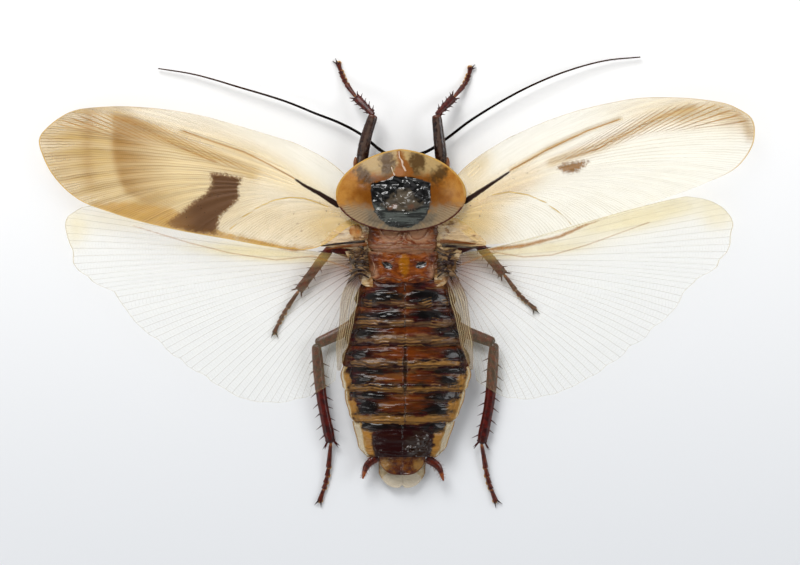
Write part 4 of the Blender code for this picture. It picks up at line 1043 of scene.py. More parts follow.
def makeWing(name, material, slot, marksOf):
    wing = wings[name]
    sign = sides[name.split("_")[1]]
    soft = name.startswith("hindwing")
    ray = wingRays(wing, sign)
    shares, ridges = wingGrid(wing, ray)
    reach = np.linspace(0.0, 1.0, wingBuild["rows"])[:, None] + 0.0 * shares
    places = wingPlace(ray, shares, reach)
    spread = stretched(ray, shares, reach, 1e-3, 0.0)
    length = stretched(ray, shares, np.clip(reach, 0.01, 0.99), 0.0, 0.01)
    outwardShare = np.clip((np.abs(places[..., 0]) - wingRoot) / (wingSpan - wingRoot), 0.0, 1.0)
    swell = wing["swell"] * np.sin(math.pi * shares) * np.sin(math.pi * reach ** 0.7)
    height = wing["level"] - wingDroop * outwardShare ** 2 + swell
    if soft:  # the margin is gently scalloped between the veins
        scallop = 0.006 * np.abs(np.sin(shares * math.pi * hindwingFolds)) + 0.003 * np.sin(shares * 97.0)
        warped = reach * (1.0 - (0.006 - scallop) * reach ** 8)
        places = wingPlace(ray, shares, np.minimum(warped, 1.0))
    x, y = sign * places[..., 0], places[..., 1]
    rim = np.minimum(np.minimum((1.0 - reach) * length, shares * spread), (1.0 - shares) * spread)
    marks = dict(marksOf(name, x, y, shares), spread=spread, reach=length, rim=rim)
    if soft:
        pleat = 0.17 * np.cos(2.0 * math.pi * (shares * hindwingFolds - 0.2))
        pleat = pleat * ramp(shares, 0.2, 0.45) * ramp(reach, 0.05, 0.5)
        crumple = 0.24 * layered(level(x, y), (3.4, 3.4, 1.0), 11) * ramp(reach, 0.1, 0.7)
    else:
        pleat = 0.08 * np.cos(2.0 * math.pi * shares * tegmenFolds) * ramp(reach, 0.1, 0.4)
        crumple = 0.13 * layered(level(x, y), (5.0, 5.0, 1.0), 5)
    bead = 0.09 * bell(rim, 0.0, 0.35)
    middle = height + pleat + crumple
    half = 0.5 * wingBuild["thickness"]
    shape = sheet(x, y, middle + half + ridges + bead, middle - half - 0.5 * bead, shares, reach, marks)
    addPiece(name + "_membrane", shape, material, slot, name)


tegmenMaterial = makeTegmenMaterial()
hindwingMaterial = makeHindwingMaterial()
for side in sides:
    makeWing("tegmen_" + side, tegmenMaterial, "forewing", tegmenMarks)
    makeWing("hindwing_" + side, hindwingMaterial, "hindwing", hindwingMarks)
print("wings made")


# The folded inner field of each hindwing lies in fine pleats along the side of the abdomen

pleats = {
    "left": ((-8.9, 1.8), (-10.4, -3.0), (-11.3, -9.0), (-12.2, -14.0), (-12.6, -17.6)),
    "right": ((9.6, 1.6), (11.3, -3.4), (12.4, -9.0), (13.3, -14.0), (13.9, -17.4)),
    "width": (2.2, 3.0, 2.0, 0.35), "height": (5.75, 5.45), "depth": 0.3, "folds": 8,
    "rows": 110, "columns": 110, "thickness": 0.09,
}
# crease and pale: darker fold valleys and paler fold crests, partly the membrane's fold lines and partly
# painted shade and a painted highlight
pleatTones = {
    "sheet": ((216, 206, 178), 0.42), "crease": ((152, 134, 102), 0.7), "pale": ((226, 218, 196), 0.62),
    "root": ((140, 108, 72), 0.8),
}


def makePleats(side, material):
    across, share = grid(pleats["rows"], pleats["columns"], 0.0)
    spine = flatCurve(pleats[side], pleats["rows"])
    along = unit(np.gradient(spine, axis=0))
    aside = sides[side] * np.stack([along[:, 1], -along[:, 0]], axis=1)
    torn = layered(np.stack([0.0 * share, 9.0 * share, 0.0 * share], axis=-1), (1.0, 1.3, 1.0), 35)
    width = np.interp(share, (0.0, 0.35, 0.75, 1.0), pleats["width"]) * (1.0 + 0.1 * torn)
    width = width + 0.3 * ramp(share, 0.0, 0.2)
    places = spine[:, None, :2] + aside[:, None] * ((across - 0.5) * width)[..., None]
    x, y = places[..., 0], places[..., 1]
    sway = 0.35 * layered(level(x, y), (1.2, 4.0, 1.0), 33, 2)
    phase = across * pleats["folds"] * blend(1.0, 0.8, share) + sway
    wave = np.abs((phase % 1.0) - 0.5) * 2.0
    strength = 0.6 + 0.4 * unevenness(level(np.floor(phase), 3.0 * share), 1.0, 6)
    height = blend(*pleats["height"], share) + pleats["depth"] * strength * (wave - 0.5)
    height = height + 0.12 * (1.0 - np.abs(across - 0.5) * 2.0)
    # crease lies in the fold valleys and pale on the fold crests: painted shade and a painted highlight along
    # with the fold lines
    marks = {
        "crease": (0.26 - wave * 0.8) * strength, "pale": (wave - 0.6) * strength, "root": 1.6 - share * 9.0,
    }
    shape = sheet(x, y, height + pleats["thickness"], height - pleats["thickness"], across, share, marks)
    addPiece("hindwing_pleats_" + side, shape, material, "hindwing")


def makePleatMaterial():
    material, tree, sockets = newMaterial("pleatedMembrane", IOR=1.4, Roughness=0.35)
    root = maths(tree, "ADD", marking(tree, "root"), speckle(tree, 0.8))
    paintMembrane(tree, sockets, pleatTones, (
        # painted highlight on the fold crests, then painted shade in the fold valleys
        ("pale", eased(tree, marking(tree, "pale"), -0.1, 0.15)),
        ("crease", eased(tree, marking(tree, "crease"), -0.06, 0.14)),
        ("root", eased(tree, root, 0.2, 1.4, 0.0, 0.8)),
    ), 0.4)
    setBump(tree, sockets, speckle(tree, 0.5), 0.04)
    return material


pleatMaterial = makePleatMaterial()
for side in sides:
    makePleats(side, pleatMaterial)
print("pleats made")


# The shield over the head

shield = {
    "middle": (-0.2, 17.4), "halfWidth": 13.0, "front": 9.2, "rear": 7.3, "shoulder": 0.13,
    "rimTop": 7.6, "rearArch": 0.9, "crown": 10.5, "thickness": (0.9, 0.5), "steps": (220, 180),
}
shieldMark = (
    (-6.1, 19.7), (-3.4, 20.2), (-1.6, 21.1), (1.8, 21.0), (4.2, 20.3), (5.7, 19.8), (5.7, 18.0),
    (5.6, 15.9), (5.1, 13.7), (3.9, 12.2), (1.9, 11.1), (-0.3, 10.8), (-2.4, 11.2), (-4.2, 12.4),
    (-5.4, 14.1), (-6.0, 15.9), (-6.2, 18.0),
)
shieldFinish = {
    "base": (202, 142, 70), "baseDark": (178, 114, 50), "rough": 0.32, "shine": 0.15,
    "relief": 0.025, "mottleSize": 2.4, "grainSize": 0.2, "wobbleSize": 0.9,
    "layers": (
        ("disc", (124, 74, 30), 2.2, 0.8, 0.9, 0.3),
        ("straw", (194, 170, 120), 1.0, 0.7, 0.8, 0.28),
        ("brown", (86, 62, 38), 0.8, 1.0, 0.92, 0.28),
        ("triangle", (146, 88, 28), 0.4, 0.5, 0.95, 0.4),
        ("peak", (172, 116, 76), 0.3, 0.4, 0.75, 0.4),
        # ridgeLine is a painted highlight: a pale line along the raised middle ridges
        ("ridgeLine", (232, 210, 190), 0.08, 0.16, 0.85, 0.25),
        ("rearCorner", (168, 150, 122), 1.3, 0.8, 0.85, 0.34),
        ("rearGrey", (126, 118, 104), 0.8, 0.9, 0.7, 0.34),
        ("mark", (9, 8, 9), 0.16, 0.18, 1.0, 0.12, 1.0),
        # centre and crescent paint grey and grey-blue into the glossy black mark: partly its own tone, partly
        # a painted reflection on its crinkles
        ("centre", (104, 94, 80), 0.5, 0.9, 0.85, 0.22, 0.6),
        ("crescent", (104, 110, 106), 0.5, 0.6, 0.85, 0.24, 0.5),
        ("crescentLine", (24, 24, 24), 0.15, 0.2, 0.75, 0.2, 0.5),
        ("rust", (120, 84, 66), 0.3, 0.7, 0.7, 0.3),
        ("margin", (214, 168, 88), 0.14, 0.1, 0.85, 0.3),
        ("rearMargin", (92, 30, 16), 0.14, 0.15, 0.9, 0.3),
    ),
}


def disc(columns, rows):  # places in a round disc from a square grid, as share, angle and both coordinates
    across, ahead = np.meshgrid(np.linspace(-1.0, 1.0, columns), np.linspace(-1.0, 1.0, rows))
    x = across * np.sqrt(1.0 - 0.5 * ahead ** 2)
    y = ahead * np.sqrt(1.0 - 0.5 * across ** 2)
    return x, y, np.minimum(np.hypot(x, y), 1.0), np.arctan2(y, x)


def shieldPlace(x, y, angle):
    steep = np.minimum(1.0, 3.0 * np.abs(np.sin(angle)))
    shoulder = shield["shoulder"] * np.abs(np.cos(angle)) * (np.sin(angle) > 0.0) * steep
    reach = np.where(y > 0.0, shield["front"] * (1.0 - shoulder), shield["rear"])
    return shield["middle"][0] + shield["halfWidth"] * x, shield["middle"][1] + reach * y


# The shield's markings, in mm: an outline, ovals, or lines
shieldOutlines = {
    "mark": shieldMark,
    "triangle": (
        (-2.2, 21.0), (2.2, 21.1), (2.0, 22.4), (0.7, 24.6), (-0.2, 26.5), (-1.1, 26.4), (-0.8, 23.6),
    ),
}
shieldOvals = {
    "disc": ((-0.2, 17.6, 9.4, 6.4, 0.0),),
    "brown": ((-2.9, 23.8, 1.5, 2.7, 6.0), (2.9, 23.9, 1.7, 2.6, -14.0),
              (-7.6, 21.4, 1.2, 2.6, 42.0), (7.5, 21.5, 1.2, 2.6, -48.0)),
    "peak": ((-0.6, 21.8, 1.1, 1.0, 0.0),),
    "rearCorner": ((-8.2, 12.2, 5.4, 3.1, -30.0), (7.9, 12.2, 5.4, 3.1, 30.0), (0.0, 12.0, 6.8, 3.0, 0.0)),
    "rearGrey": ((-5.2, 12.6, 2.0, 1.5, -40.0), (5.0, 12.6, 2.0, 1.5, 40.0), (0.0, 11.4, 5.2, 1.7, 0.0)),
    # centre: grey in the glossy mark, partly a painted reflection
    "centre": ((0.1, 15.6, 3.6, 1.7, 0.0), (0.3, 17.1, 2.0, 1.2, 0.0)),
    "rust": ((-1.9, 15.0, 0.8, 0.5, 20.0), (1.8, 14.8, 0.9, 0.5, -15.0)),
}
shieldRidges = (((-0.6, 26.0), (-0.5, 24.9), (0.0, 24.2), (0.1, 23.2), (0.7, 22.2)),
                ((-2.1, 22.9), (-1.8, 22.0), (-1.5, 21.4)))
shieldGrooves = (  # two curved dents in front of the mark and one across behind it, with their half widths
    (((-7.8, 19.6), (-6.4, 21.6), (-3.4, 22.6)), 0.5), (((7.4, 19.6), (6.0, 21.6), (3.0, 22.6)), 0.5),
    (((-6.4, 12.2), (0.0, 10.9), (6.0, 12.2)), 0.3),
)


def shieldMarks(x, y, edge, rear, ribs):
    marks = {name: insideOutline(x, y, corners) for name, corners in shieldOutlines.items()}
    marks.update((name, insideOvals(x, y, ovals)) for name, ovals in shieldOvals.items())
    behind = 13.9 - y + 0.06 * x ** 2
    middle = shield["middle"][0]
    frontCurve = 0.35 * (y - 24.0) ** 2 * (y > 24.0)
    return dict(
        marks,
        disc=np.minimum(marks["disc"], (y - 14.0) * 0.8),
        straw=np.minimum(8.5 - np.abs(x - middle) - frontCurve, y - 21.6),
        # the painted highlight follows the raised ridge lines
        ridgeLine=0.11 - fromLines(x, y, shieldRidges),
        rearCorner=np.minimum(marks["rearCorner"], 15.2 - y),
        # crescent: grey-blue in the lower part of the mark, partly a painted reflection
        crescent=np.minimum(marks["mark"] - 0.1, behind),
        crescentLine=np.minimum(np.minimum(marks["mark"], behind + 0.3), (ribs - 0.1) * 0.9),
        margin=0.34 - edge + farOutside * rear,
        rearMargin=0.34 - edge + farOutside * (1.0 - rear),
    )


def makeShield():
    flatX, flatY, share, angle = disc(*shield["steps"])
    x, y = shieldPlace(flatX, flatY, angle)
    spots = level(x, y)
    edge = (1.0 - share) * 11.0
    ribs = layered(spots, (2.4, 0.26, 1.0), 14, 2)
    marks = shieldMarks(x, y, edge, ramp(-np.sin(angle), 0.0, 0.35), ribs)
    rim = shield["rimTop"] + shield["rearArch"] * np.maximum(0.0, -np.sin(angle)) ** 2
    smooth = blend(rim, shield["crown"], (1.0 - share ** 2.2) ** 0.9)
    inMark = ramp(marks["mark"], -0.1, 0.6)
    upperPart = inMark * ramp(y, 13.6, 15.2)
    crinkle = layered(spots, (2.0, 1.3, 1.0), 3, 2)
    folds = np.abs(layered(spots, (2.4, 1.5, 1.0), 8, 2))
    streaks = np.sin(angle * 90.0 + 3.0 * unevenness(spots, 2.0, 2)) * 0.035
    top = smooth + upperPart * (0.24 * crinkle - 0.46 * folds + 0.08) + 0.1 * inMark
    top = top + 0.1 * (inMark - upperPart) * ribs + 0.12 * ramp(marks["ridgeLine"], -0.2, 0.1)
    top = top + 0.05 * layered(spots, 3.0, 4) + streaks * ramp(share, 0.55, 0.8) * (y < 15.5)
    top = top + 0.14 * bell(edge, 0.3, 0.5) - 0.12 * bell(edge, 1.9, 1.1)
    for line, width in shieldGrooves:
        top = top - 0.12 * bell(fromLines(x, y, (line,)), 0.0, width)
    bottom = smooth - blend(*shield["thickness"], share ** 3)
    shape = sheet(x, y, top, bottom, flatX * 0.5 + 0.5, flatY * 0.5 + 0.5, marks)
    addPiece("pronotum_shield", shape, hornMaterial("shieldHorn", shieldFinish), "shell", "pronotum")


makeShield()
print("shield made")


# Back plates: each is a dense arched sheet between a front and a rear line

thoraxPlates = {
    "mesonotum": {
        "span": (13.2, 6.0), "half": (7.0, 6.9), "crown": (7.1, 7.9), "edge": (6.3, 6.3), "seed": 4,
        "paleOvals": ((-2.2, 9.4, 2.2, 1.6, 12.0), (3.3, 9.5, 2.6, 1.5, -8.0)),
        "ridges": (
            ((-4.4, 10.6), (-3.4, 9.2), (-2.2, 8.7), (-1.0, 9.0), (-0.6, 9.8)),
            ((1.3, 9.8), (1.9, 8.9), (3.2, 8.6), (4.4, 9.1), (5.2, 10.2)),
            ((0.3, 11.2), (0.4, 9.6), (0.1, 8.6), (-0.9, 8.1)), ((0.35, 9.4), (0.7, 8.6), (1.8, 8.1)),
            ((-6.6, 7.6), (-2.0, 7.8), (3.0, 7.6), (7.4, 7.8)), ((-6.6, 6.8), (0.0, 6.9), (7.4, 6.8)),
        ),
        "band": (-8.0, 9.0, 5.8, 7.9), "ochre": (), "pits": (),
        "dark": ((-0.6, 0.2, 9.8, 10.6), (-7.2, -5.6, 8.0, 11.0), (6.4, 7.8, 8.0, 11.0)),
    },
    "metanotum": {
        "span": (6.2, 0.1), "half": (7.2, 6.4), "crown": (7.6, 7.3), "edge": (6.2, 5.9), "seed": 9,
        "paleOvals": ((-5.8, 1.6, 0.8, 1.4, 0.0), (6.4, 1.8, 0.8, 1.5, 0.0)),
        "ridges": (
            ((-3.9, 4.3), (-2.9, 4.1), (-1.7, 4.4)), ((4.9, 4.4), (3.8, 4.2), (2.6, 4.4)),
            ((-5.4, 0.7), (-2.4, 1.3), (-0.4, 0.6)), ((1.4, 0.6), (3.6, 1.3), (6.0, 0.7)),
            ((-6.2, 5.0), (-5.5, 3.4), (-5.9, 1.6)), ((6.8, 5.2), (6.1, 3.4), (6.6, 1.6)),
        ),
        "band": (-9.0, 9.0, 5.75, 6.4), "ochre": ((0.4, 3.6, 1.0, 2.3, 0.0),),
        "pits": ((-2.9, 3.4, 1.15, 0.62, -22.0), (3.8, 3.5, 1.15, 0.62, 20.0)),
        "dark": (
            (-7.2, -5.0, 3.0, 6.0), (5.6, 7.6, 3.0, 6.0), (-4.4, -2.2, -0.2, 0.7), (2.6, 5.0, -0.2, 0.7),
        ),
    },
}
thoraxFinish = {
    "base": (150, 82, 38), "baseDark": (108, 56, 26), "rough": 0.34, "shine": 0.15, "coat": 0.15,
    "relief": 0.05, "mottleSize": 0.9, "grainSize": 0.14, "wobbleSize": 0.6, "dust": 0.03, "stretch": 1.6,
    "layers": (
        ("dark", (62, 30, 16), 0.5, 0.9, 0.75, 0.3),
        ("ochre", (168, 106, 32), 0.3, 0.3, 0.9, 0.25),
        ("pale", (190, 144, 112), 0.6, 0.7, 0.85, 0.35),
        ("band", (152, 114, 88), 0.4, 1.2, 0.75, 0.3),
        ("ridge", (104, 50, 24), 0.2, 0.2, 0.6, 0.3),
        # crest is a painted highlight: a pale line just behind each raised ridge
        ("crest", (206, 170, 138), 0.07, 0.16, 0.6, 0.3),
        ("pit", (20, 14, 14), 0.1, 0.15, 0.97, 0.16, 1.0),
        ("pitGlint", (176, 176, 176), 0.06, 0.16, 0.8, 0.2),
        ("side", (96, 62, 38), 0.4, 0.6, 0.7, 0.3),
    ),
}
pitGlints = (((-3.7, 3.8), (-3.0, 3.3), (-2.1, 3.2)), ((-3.2, 3.0), (-2.4, 2.9)),
             ((4.8, 3.9), (4.0, 3.4), (3.1, 3.3)), ((4.4, 3.1), (3.6, 3.0)))


def makeThoraxPlate(name, material):
    plan = thoraxPlates[name]
    across, share = grid(90, 150)
    y = blend(*plan["span"], share)
    edgeNoise = layered(level(across * 4.0, y), (1.6, 1.3, 1.0), plan["seed"])
    x = bodyMiddle + (blend(*plan["half"], share) + 0.3 * edgeNoise * np.abs(across) ** 3) * across
    y = y - 0.3 * share * np.cos(across * math.pi * 0.5) + 0.22 * edgeNoise * share ** 3
    y = y + 1.1 * share ** 2 * np.abs(across) ** 8
    pits = insideOvals(x, y, plan["pits"])
    ridges = [flatCurve(line, 14)[:, :2] for line in plan["ridges"]]
    ridge = 0.2 - fromLines(x, y, ridges)
    marks = {
        "dark": insideBoxes(x, y, plan["dark"]), "ochre": insideOvals(x, y, plan["ochre"]),
        "pale": insideOvals(x, y, plan["paleOvals"]), "band": insideBoxes(x, y, (plan["band"],)),
        # the painted highlight lies 0.2 mm behind each ridge line
        "ridge": ridge, "crest": 0.07 - fromLines(x, y + 0.2, ridges), "pit": pits,
        "pitGlint": np.minimum(0.07 - fromLines(x, y, pitGlints), pits + 0.3),
        "side": (np.abs(across) - 0.9) * 7.0,
    }
    arch = (1.0 - np.abs(across) ** 2.5) ** 0.8
    height = blend(blend(*plan["edge"], share), blend(*plan["crown"], share), arch)
    top = height + 0.13 * layered(level(x, y), (2.2, 0.7, 1.0), 21, 4)
    top = top - 0.42 * ramp(pits, -0.3, 0.4) + 0.2 * ramp(ridge, -0.25, 0.2)
    top = top + 0.12 * ramp(marks["ochre"], -0.2, 0.6) - 0.1 * ramp(marks["pale"], -0.3, 0.6)
    top = top - 0.25 * ramp(share, 0.93, 1.0) - 0.2 * (1.0 - ramp(share, 0.0, 0.08))
    bottom = height - 0.8 + 0.25 * across ** 4
    plate = sheet(x, y, top, bottom, across * 0.5 + 0.5, share, marks)
    addPiece(name + "_plate", plate, material, "thorax", name)


thoraxMaterial = hornMaterial("thoraxHorn", thoraxFinish)
for name in thoraxPlates:
    makeThoraxPlate(name, thoraxMaterial)


# The abdomen's outline and arch along the body

abdomen = {
    "places": (0.3, -1.5, -8.9, -16.1, -17.5, -21.7, -28.3, -34.7, -36.0),
    "middles": (0.6, 0.6, 0.7, 0.8, 0.8, 0.6, 0.3, 0.0, 0.0),
    "halfWidths": (8.4, 9.2, 11.0, 12.9, 13.1, 12.4, 10.3, 8.1, 7.4),
    "crownPlaces": (0.3, -8.0, -18.0, -28.0, -36.0),
    "crowns": (6.9, 7.2, 7.0, 6.0, 4.4), "edges": (4.6, 4.2, 3.8, 3.5, 3.0),
    "rears": (-4.7, -8.6, -12.3, -16.7, -21.6, -27.9, -34.9),
    "overlap": 0.4, "lip": 0.3, "columns": 200, "rowsPerMillimetre": 7.5,
}


def alongBody(y, places, values):
    return np.interp(-y, [-place for place in abdomen[places]], abdomen[values])


def backProfile(across):
    return np.maximum(0.0, 1.0 - np.minimum(np.abs(across) / 0.95, 1.0) ** 2.3) ** 0.85


tergitePlans = {  # boxes are left, right, rear and front; ovals are middle, half sizes and turn
    1: {"bars": ((-3.7, -2.8, 4.3, 1.15, 3.0), (5.3, -2.8, 4.6, 1.15, -3.0)),
        "glow": ((0.5, -1.6, 1.4, 1.6, 0.0), (-6.8, -1.0, 1.6, 0.7, 30.0), (7.9, -1.0, 1.6, 0.7, -30.0)),
        "grey": ((-7.6, 9.2, -4.7, -3.9),)},
    2: {"bars": ((-3.0, -6.5, 3.1, 0.95, 2.0), (5.2, -6.4, 3.5, 0.95, -2.0)),
        "glow": ((0.8, -5.7, 1.5, 0.9, 0.0), (-6.6, -5.1, 3.0, 0.3, 0.0), (7.4, -5.1, 3.0, 0.3, 0.0)),
        "grey": ((-8.6, 10.4, -8.6, -7.5),)},
    3: {"bars": ((-7.6, -10.0, 2.4, 0.9, 3.0), (9.8, -10.0, 2.5, 0.9, -3.0)),
        "glow": ((1.1, -9.9, 3.4, 0.9, 0.0),),
        "grey": ((-9.4, 11.4, -12.3, -10.9),)},
    4: {"bars": ((-8.6, -14.3, 2.4, 0.9, 3.0), (10.8, -14.3, 2.3, 0.95, -3.0)),
        "glow": ((1.2, -14.0, 6.0, 1.3, 0.0), (-7.0, -12.9, 3.0, 0.35, 0.0), (9.0, -12.9, 3.0, 0.35, 0.0)),
        "gold": ((1.0, 11.4, -16.8, -15.9),), "grey": ((-10.4, 1.0, -16.8, -15.6),)},
    5: {"bars": ((-7.2, -17.4, 5.3, 0.65, -2.0), (10.0, -17.6, 4.4, 0.7, 2.0), (-7.5, -19.6, 1.9, 0.95, 10.0),
                 (9.1, -19.7, 2.0, 1.0, -8.0), (0.8, -20.5, 9.5, 0.28, 0.0)),
        "glow": ((0.8, -18.9, 5.6, 1.3, 0.0),),
        "gold": ((-10.8, 12.0, -21.9, -20.8),), "grey": ((-4.0, 7.0, -17.1, -16.8),),
        "amber": ((-11.2, -19.7, 0.9, 1.3, 10.0), (11.8, -19.9, 0.9, 1.3, -10.0))},
    6: {"bars": ((-6.7, -22.5, 4.8, 0.7, -3.0), (8.6, -23.0, 3.7, 0.8, 4.0), (-6.6, -24.9, 2.0, 1.3, 10.0),
                 (6.6, -25.4, 2.5, 1.2, -6.0), (0.6, -26.1, 8.6, 0.28, 0.0)),
        "glow": ((0.6, -24.2, 5.0, 1.9, 0.0),),
        "gold": ((-9.4, 11.0, -28.1, -26.4),), "grey": ((-1.2, 2.0, -22.5, -21.8),),
        "amber": ((-9.9, -24.9, 1.0, 1.7, 12.0), (10.3, -25.1, 1.4, 2.1, -12.0))},
    7: {"bars": ((-5.6, -28.9, 4.2, 0.75, -2.0), (7.2, -29.2, 3.0, 0.85, 3.0), (0.5, -29.2, 4.0, 0.45, 0.0)),
        "glow": ((-3.2, -30.0, 1.6, 0.5, 0.0), (3.0, -33.4, 1.2, 1.0, 0.0)),
        "amber": ((-7.4, -31.0, 1.5, 1.9, 10.0), (7.7, -31.2, 1.5, 1.9, -10.0), (-6.6, -33.6, 1.0, 1.2, 20.0),
                  (6.8, -33.6, 1.0, 1.2, -20.0))},
}
tailMark = (
    (-6.1, -30.4), (-4.0, -29.3), (0.0, -29.2), (4.2, -29.4), (6.1, -30.6), (5.8, -33.6), (5.2, -35.2),
    (0.0, -35.8), (-5.0, -35.2), (-5.8, -33.4),
)
tailWetOvals = ((3.2, -32.6, 2.6, 2.6, 0.0),)
tergiteFinish = {
    "base": (72, 35, 17), "baseDark": (46, 21, 12), "rough": 0.32, "coat": 0.2, "shine": 0.12,
    "relief": 0.04, "mottleSize": 1.3, "grainSize": 0.2, "wobbleSize": 0.9, "stretch": 2.4,
    "layers": (
        ("glow", (128, 68, 26), 1.1, 1.2, 0.8, 0.3),
        ("streak", (36, 16, 9), 0.8, 0.3, 0.5, 0.26),
        # paleStreak: pale wavy streaks, partly the horn's own fibre and partly painted highlight lines
        ("paleStreak", (150, 108, 64), 0.4, 0.3, 0.32, 0.3),
        ("gold", (168, 124, 68), 0.45, 0.9, 0.75, 0.3),
        ("grey", (128, 100, 72), 0.4, 1.3, 0.55, 0.28),
        ("amber", (186, 134, 66), 0.35, 0.8, 0.85, 0.3),
        ("bar", (28, 12, 7), 0.5, 0.9, 0.93, 0.16, 0.45),
        ("hem", (172, 128, 76), 0.12, 0.12, 0.7, 0.28),
        ("tail", (52, 21, 13), 0.25, 0.4, 0.95, 0.24, 0.25),
        ("tailWet", (58, 48, 40), 0.6, 1.4, 0.6, 0.14, 1.0),
        ("midline", (24, 11, 8), 0.25, 0.4, 0.8, 0.25),
        ("lipShade", (58, 30, 16), 0.12, 0.15, 0.8, 0.3),
        ("flange", (192, 152, 92), 0.25, 0.5, 0.85, 0.35),
        ("flangeRim", (150, 104, 50), 0.06, 0.08, 0.9, 0.35),
    ),
    "clear": ("flangeClear", (226, 206, 164), 0.42),
}


def tergiteMarks(number, x, y, aside, toRear, half, wave, fine, inner):
    plan = tergitePlans[number]
    last = number == len(abdomen["rears"])
    flanged = number > 4
    spots = level(x, y)
    bent = y + 0.5 * layered(level(x, y * 0.2), (3.4, 2.0, 1.0), 110 + number)
    pale = layered(spots, (4.0, 0.5, 1.0), 90 + number)
    toHem = toRear - abdomen["overlap"]
    hem = toHem + 0.35 * wave
    hem = 0.1 - np.abs(hem % 0.62 - 0.31) - 0.3 * ramp(hem, 1.2, 2.1)
    hem = hem - 0.3 * ramp(unevenness(spots, 1.7, number), 0.0, 0.5)
    limit = (0.83 if last else 0.935) + 0.012 * layered(spots, 1.6, 5)
    outside = (aside - limit) * half
    rim = np.minimum((1.0 - aside) * half, toRear)
    return {
        "glow": insideOvals(x, y, plan["glow"]),
        "bar": insideOvals(x, y, plan["bars"]),
        "grey": insideBoxes(x, bent, plan.get("grey", ())),
        "gold": insideBoxes(x, bent, plan.get("gold", ())),
        "amber": insideOvals(x, y, plan.get("amber", ())),
        "streak": (fine - 0.2) * 1.6,
        # pale streaks, partly fibre and partly painted highlight lines
        "paleStreak": (pale - 0.55) * 2.0 * inner,
        "tail": insideOutline(x, y, tailMark if last else ()),
        "tailWet": insideOvals(x, y, tailWetOvals if last else ()),
        "hem": farOutside if last else hem - 0.2 * (1.0 - inner),
        "hemRidge": hem,
        "midline": (0.42 if number in (4, 5) else 0.0) - np.abs(x - 0.6 * (1.0 - 0.9 * last)) + 0.1 * fine,
        "lipShade": farOutside if last else 0.1 - np.abs(toHem - 0.12),
        "flange": outside if flanged else farOutside,
        "flangeRim": np.minimum(outside, 0.14 - rim) if flanged else farOutside,
        "flangeClear": np.minimum(outside - 0.25, rim - 0.2) if flanged else farOutside,
    }


def makeTergite(number, front, rear, material):
    last = number == len(abdomen["rears"])
    spanY = (front + (0.5 if number == 1 else 0.0), rear - (0.0 if last else abdomen["overlap"]))
    length = spanY[0] - spanY[1]
    across, share = grid(int(abdomen["rowsPerMillimetre"] * length), abdomen["columns"])
    aside = np.abs(across)
    y = blend(*spanY, share)
    lobed = ramp(number, 3.0, 4.0)
    half = alongBody(y, "places", "halfWidths") * blend(0.975, 1.01, ramp(share, 0.0, 0.5))
    half = half + 0.35 * (1.0 - lobed) * np.sin(math.pi * share)
    half = half - blend(0.2, 0.55, lobed) * ramp(share, 0.7, 1.0) ** 2 + 0.12 * np.sin(share * 9.0 + number)
    x = alongBody(y, "places", "middles") + half * across
    wave = layered(level(x, y * 0.3, number), (3.2, 3.0, 1.0), 30 + number)
    y = y - 0.16 * wave * share ** 2 * (1.0 - 0.7 * last) - 0.35 * lobed * aside ** 8 * share
    y = y + 0.55 * aside ** 30 * share ** 3 * length * 0.3
    spots = level(x, y)
    inner = 1.0 - ramp(aside, 0.8, 0.93)
    fine = layered(spots, (4.4, 0.62, 1.0), 70 + number)
    marks = tergiteMarks(number, x, y, aside, (1.0 - share) * length, half, wave, fine, inner)
    lift = abdomen["lip"] * share ** 2
    height = blend(alongBody(y, "crownPlaces", "edges") + 0.4 * lift,
                   alongBody(y, "crownPlaces", "crowns") + lift, backProfile(across))
    wrinkles = 0.17 * layered(spots, (4.2, 0.75, 1.0), 40 + number) + 0.1 * fine
    blackened = ramp(np.maximum(marks["bar"], marks["tail"]), -0.1, 0.4)
    top = height + inner * (1.0 - 0.75 * blackened) * wrinkles
    top = top + 0.16 * blackened + 0.11 * blackened * layered(spots, (2.6, 1.0, 1.0), 60 + number, 2)
    top = top + 0.1 * ramp(marks.pop("hemRidge"), -0.1, 0.08) * inner
    top = top - 0.14 * ramp(marks["midline"], -0.2, 0.1) * inner
    top = top + 0.12 * bell(share, 0.8, 0.1) * inner + 0.16 * np.sin(math.pi * share) * inner
    top = top - 0.16 * bell(aside, 0.87, 0.02) - 0.3 * ramp(share, 0.92, 1.0) * (0.3 if last else 1.0)
    if last:
        top = top + 0.5 * ramp(marks["tailWet"], -0.6, 0.9) * np.abs(layered(spots, (1.9, 1.0, 1.0), 91, 2))
        top = top + 0.3 * bell(share, 0.45, 0.2) * inner
    bottom = height - blend(0.75, 0.4, ramp(aside, 0.6, 0.9))
    shape = sheet(x, y, top, bottom, across * 0.5 + 0.5, share, marks)
    addPiece(f"tergite_{number}_plate", shape, material, "abdomen", f"tergite_{number}")


tergiteMaterial = hornMaterial("tergiteHorn", tergiteFinish)
previous = 0.0
for number, rear in enumerate(abdomen["rears"], start=1):
    makeTergite(number, previous, rear, tergiteMaterial)
    previous = rear + 0.1
print("back plates made")


# The three blocks of the thorax, which carry the wings and hips

thoraxFloor = 2.6
thoraxBlocks = {  # front and rear, half widths, tops
    "prothorax": ((20.2, 14.6), (2.2, 5.2), (6.0, 6.9)),
    "mesothorax": ((14.3, 6.4), (6.4, 7.4), (5.6, 5.4)),
    "metathorax": ((6.4, 0.0), (7.4, 7.4), (5.4, 5.2)),
}
bodyFinish = {
    "base": (134, 74, 40), "baseDark": (82, 42, 24), "rough": 0.38, "coat": 0.15,
    "relief": 0.06, "mottleSize": 1.4, "grainSize": 0.18, "dust": 0.15,
    "layers": (("seam", (196, 156, 110), 0.12, 0.15, 0.7, 0.5), ("dark", (48, 24, 16), 0.3, 0.4, 0.7, 0.3)),
}


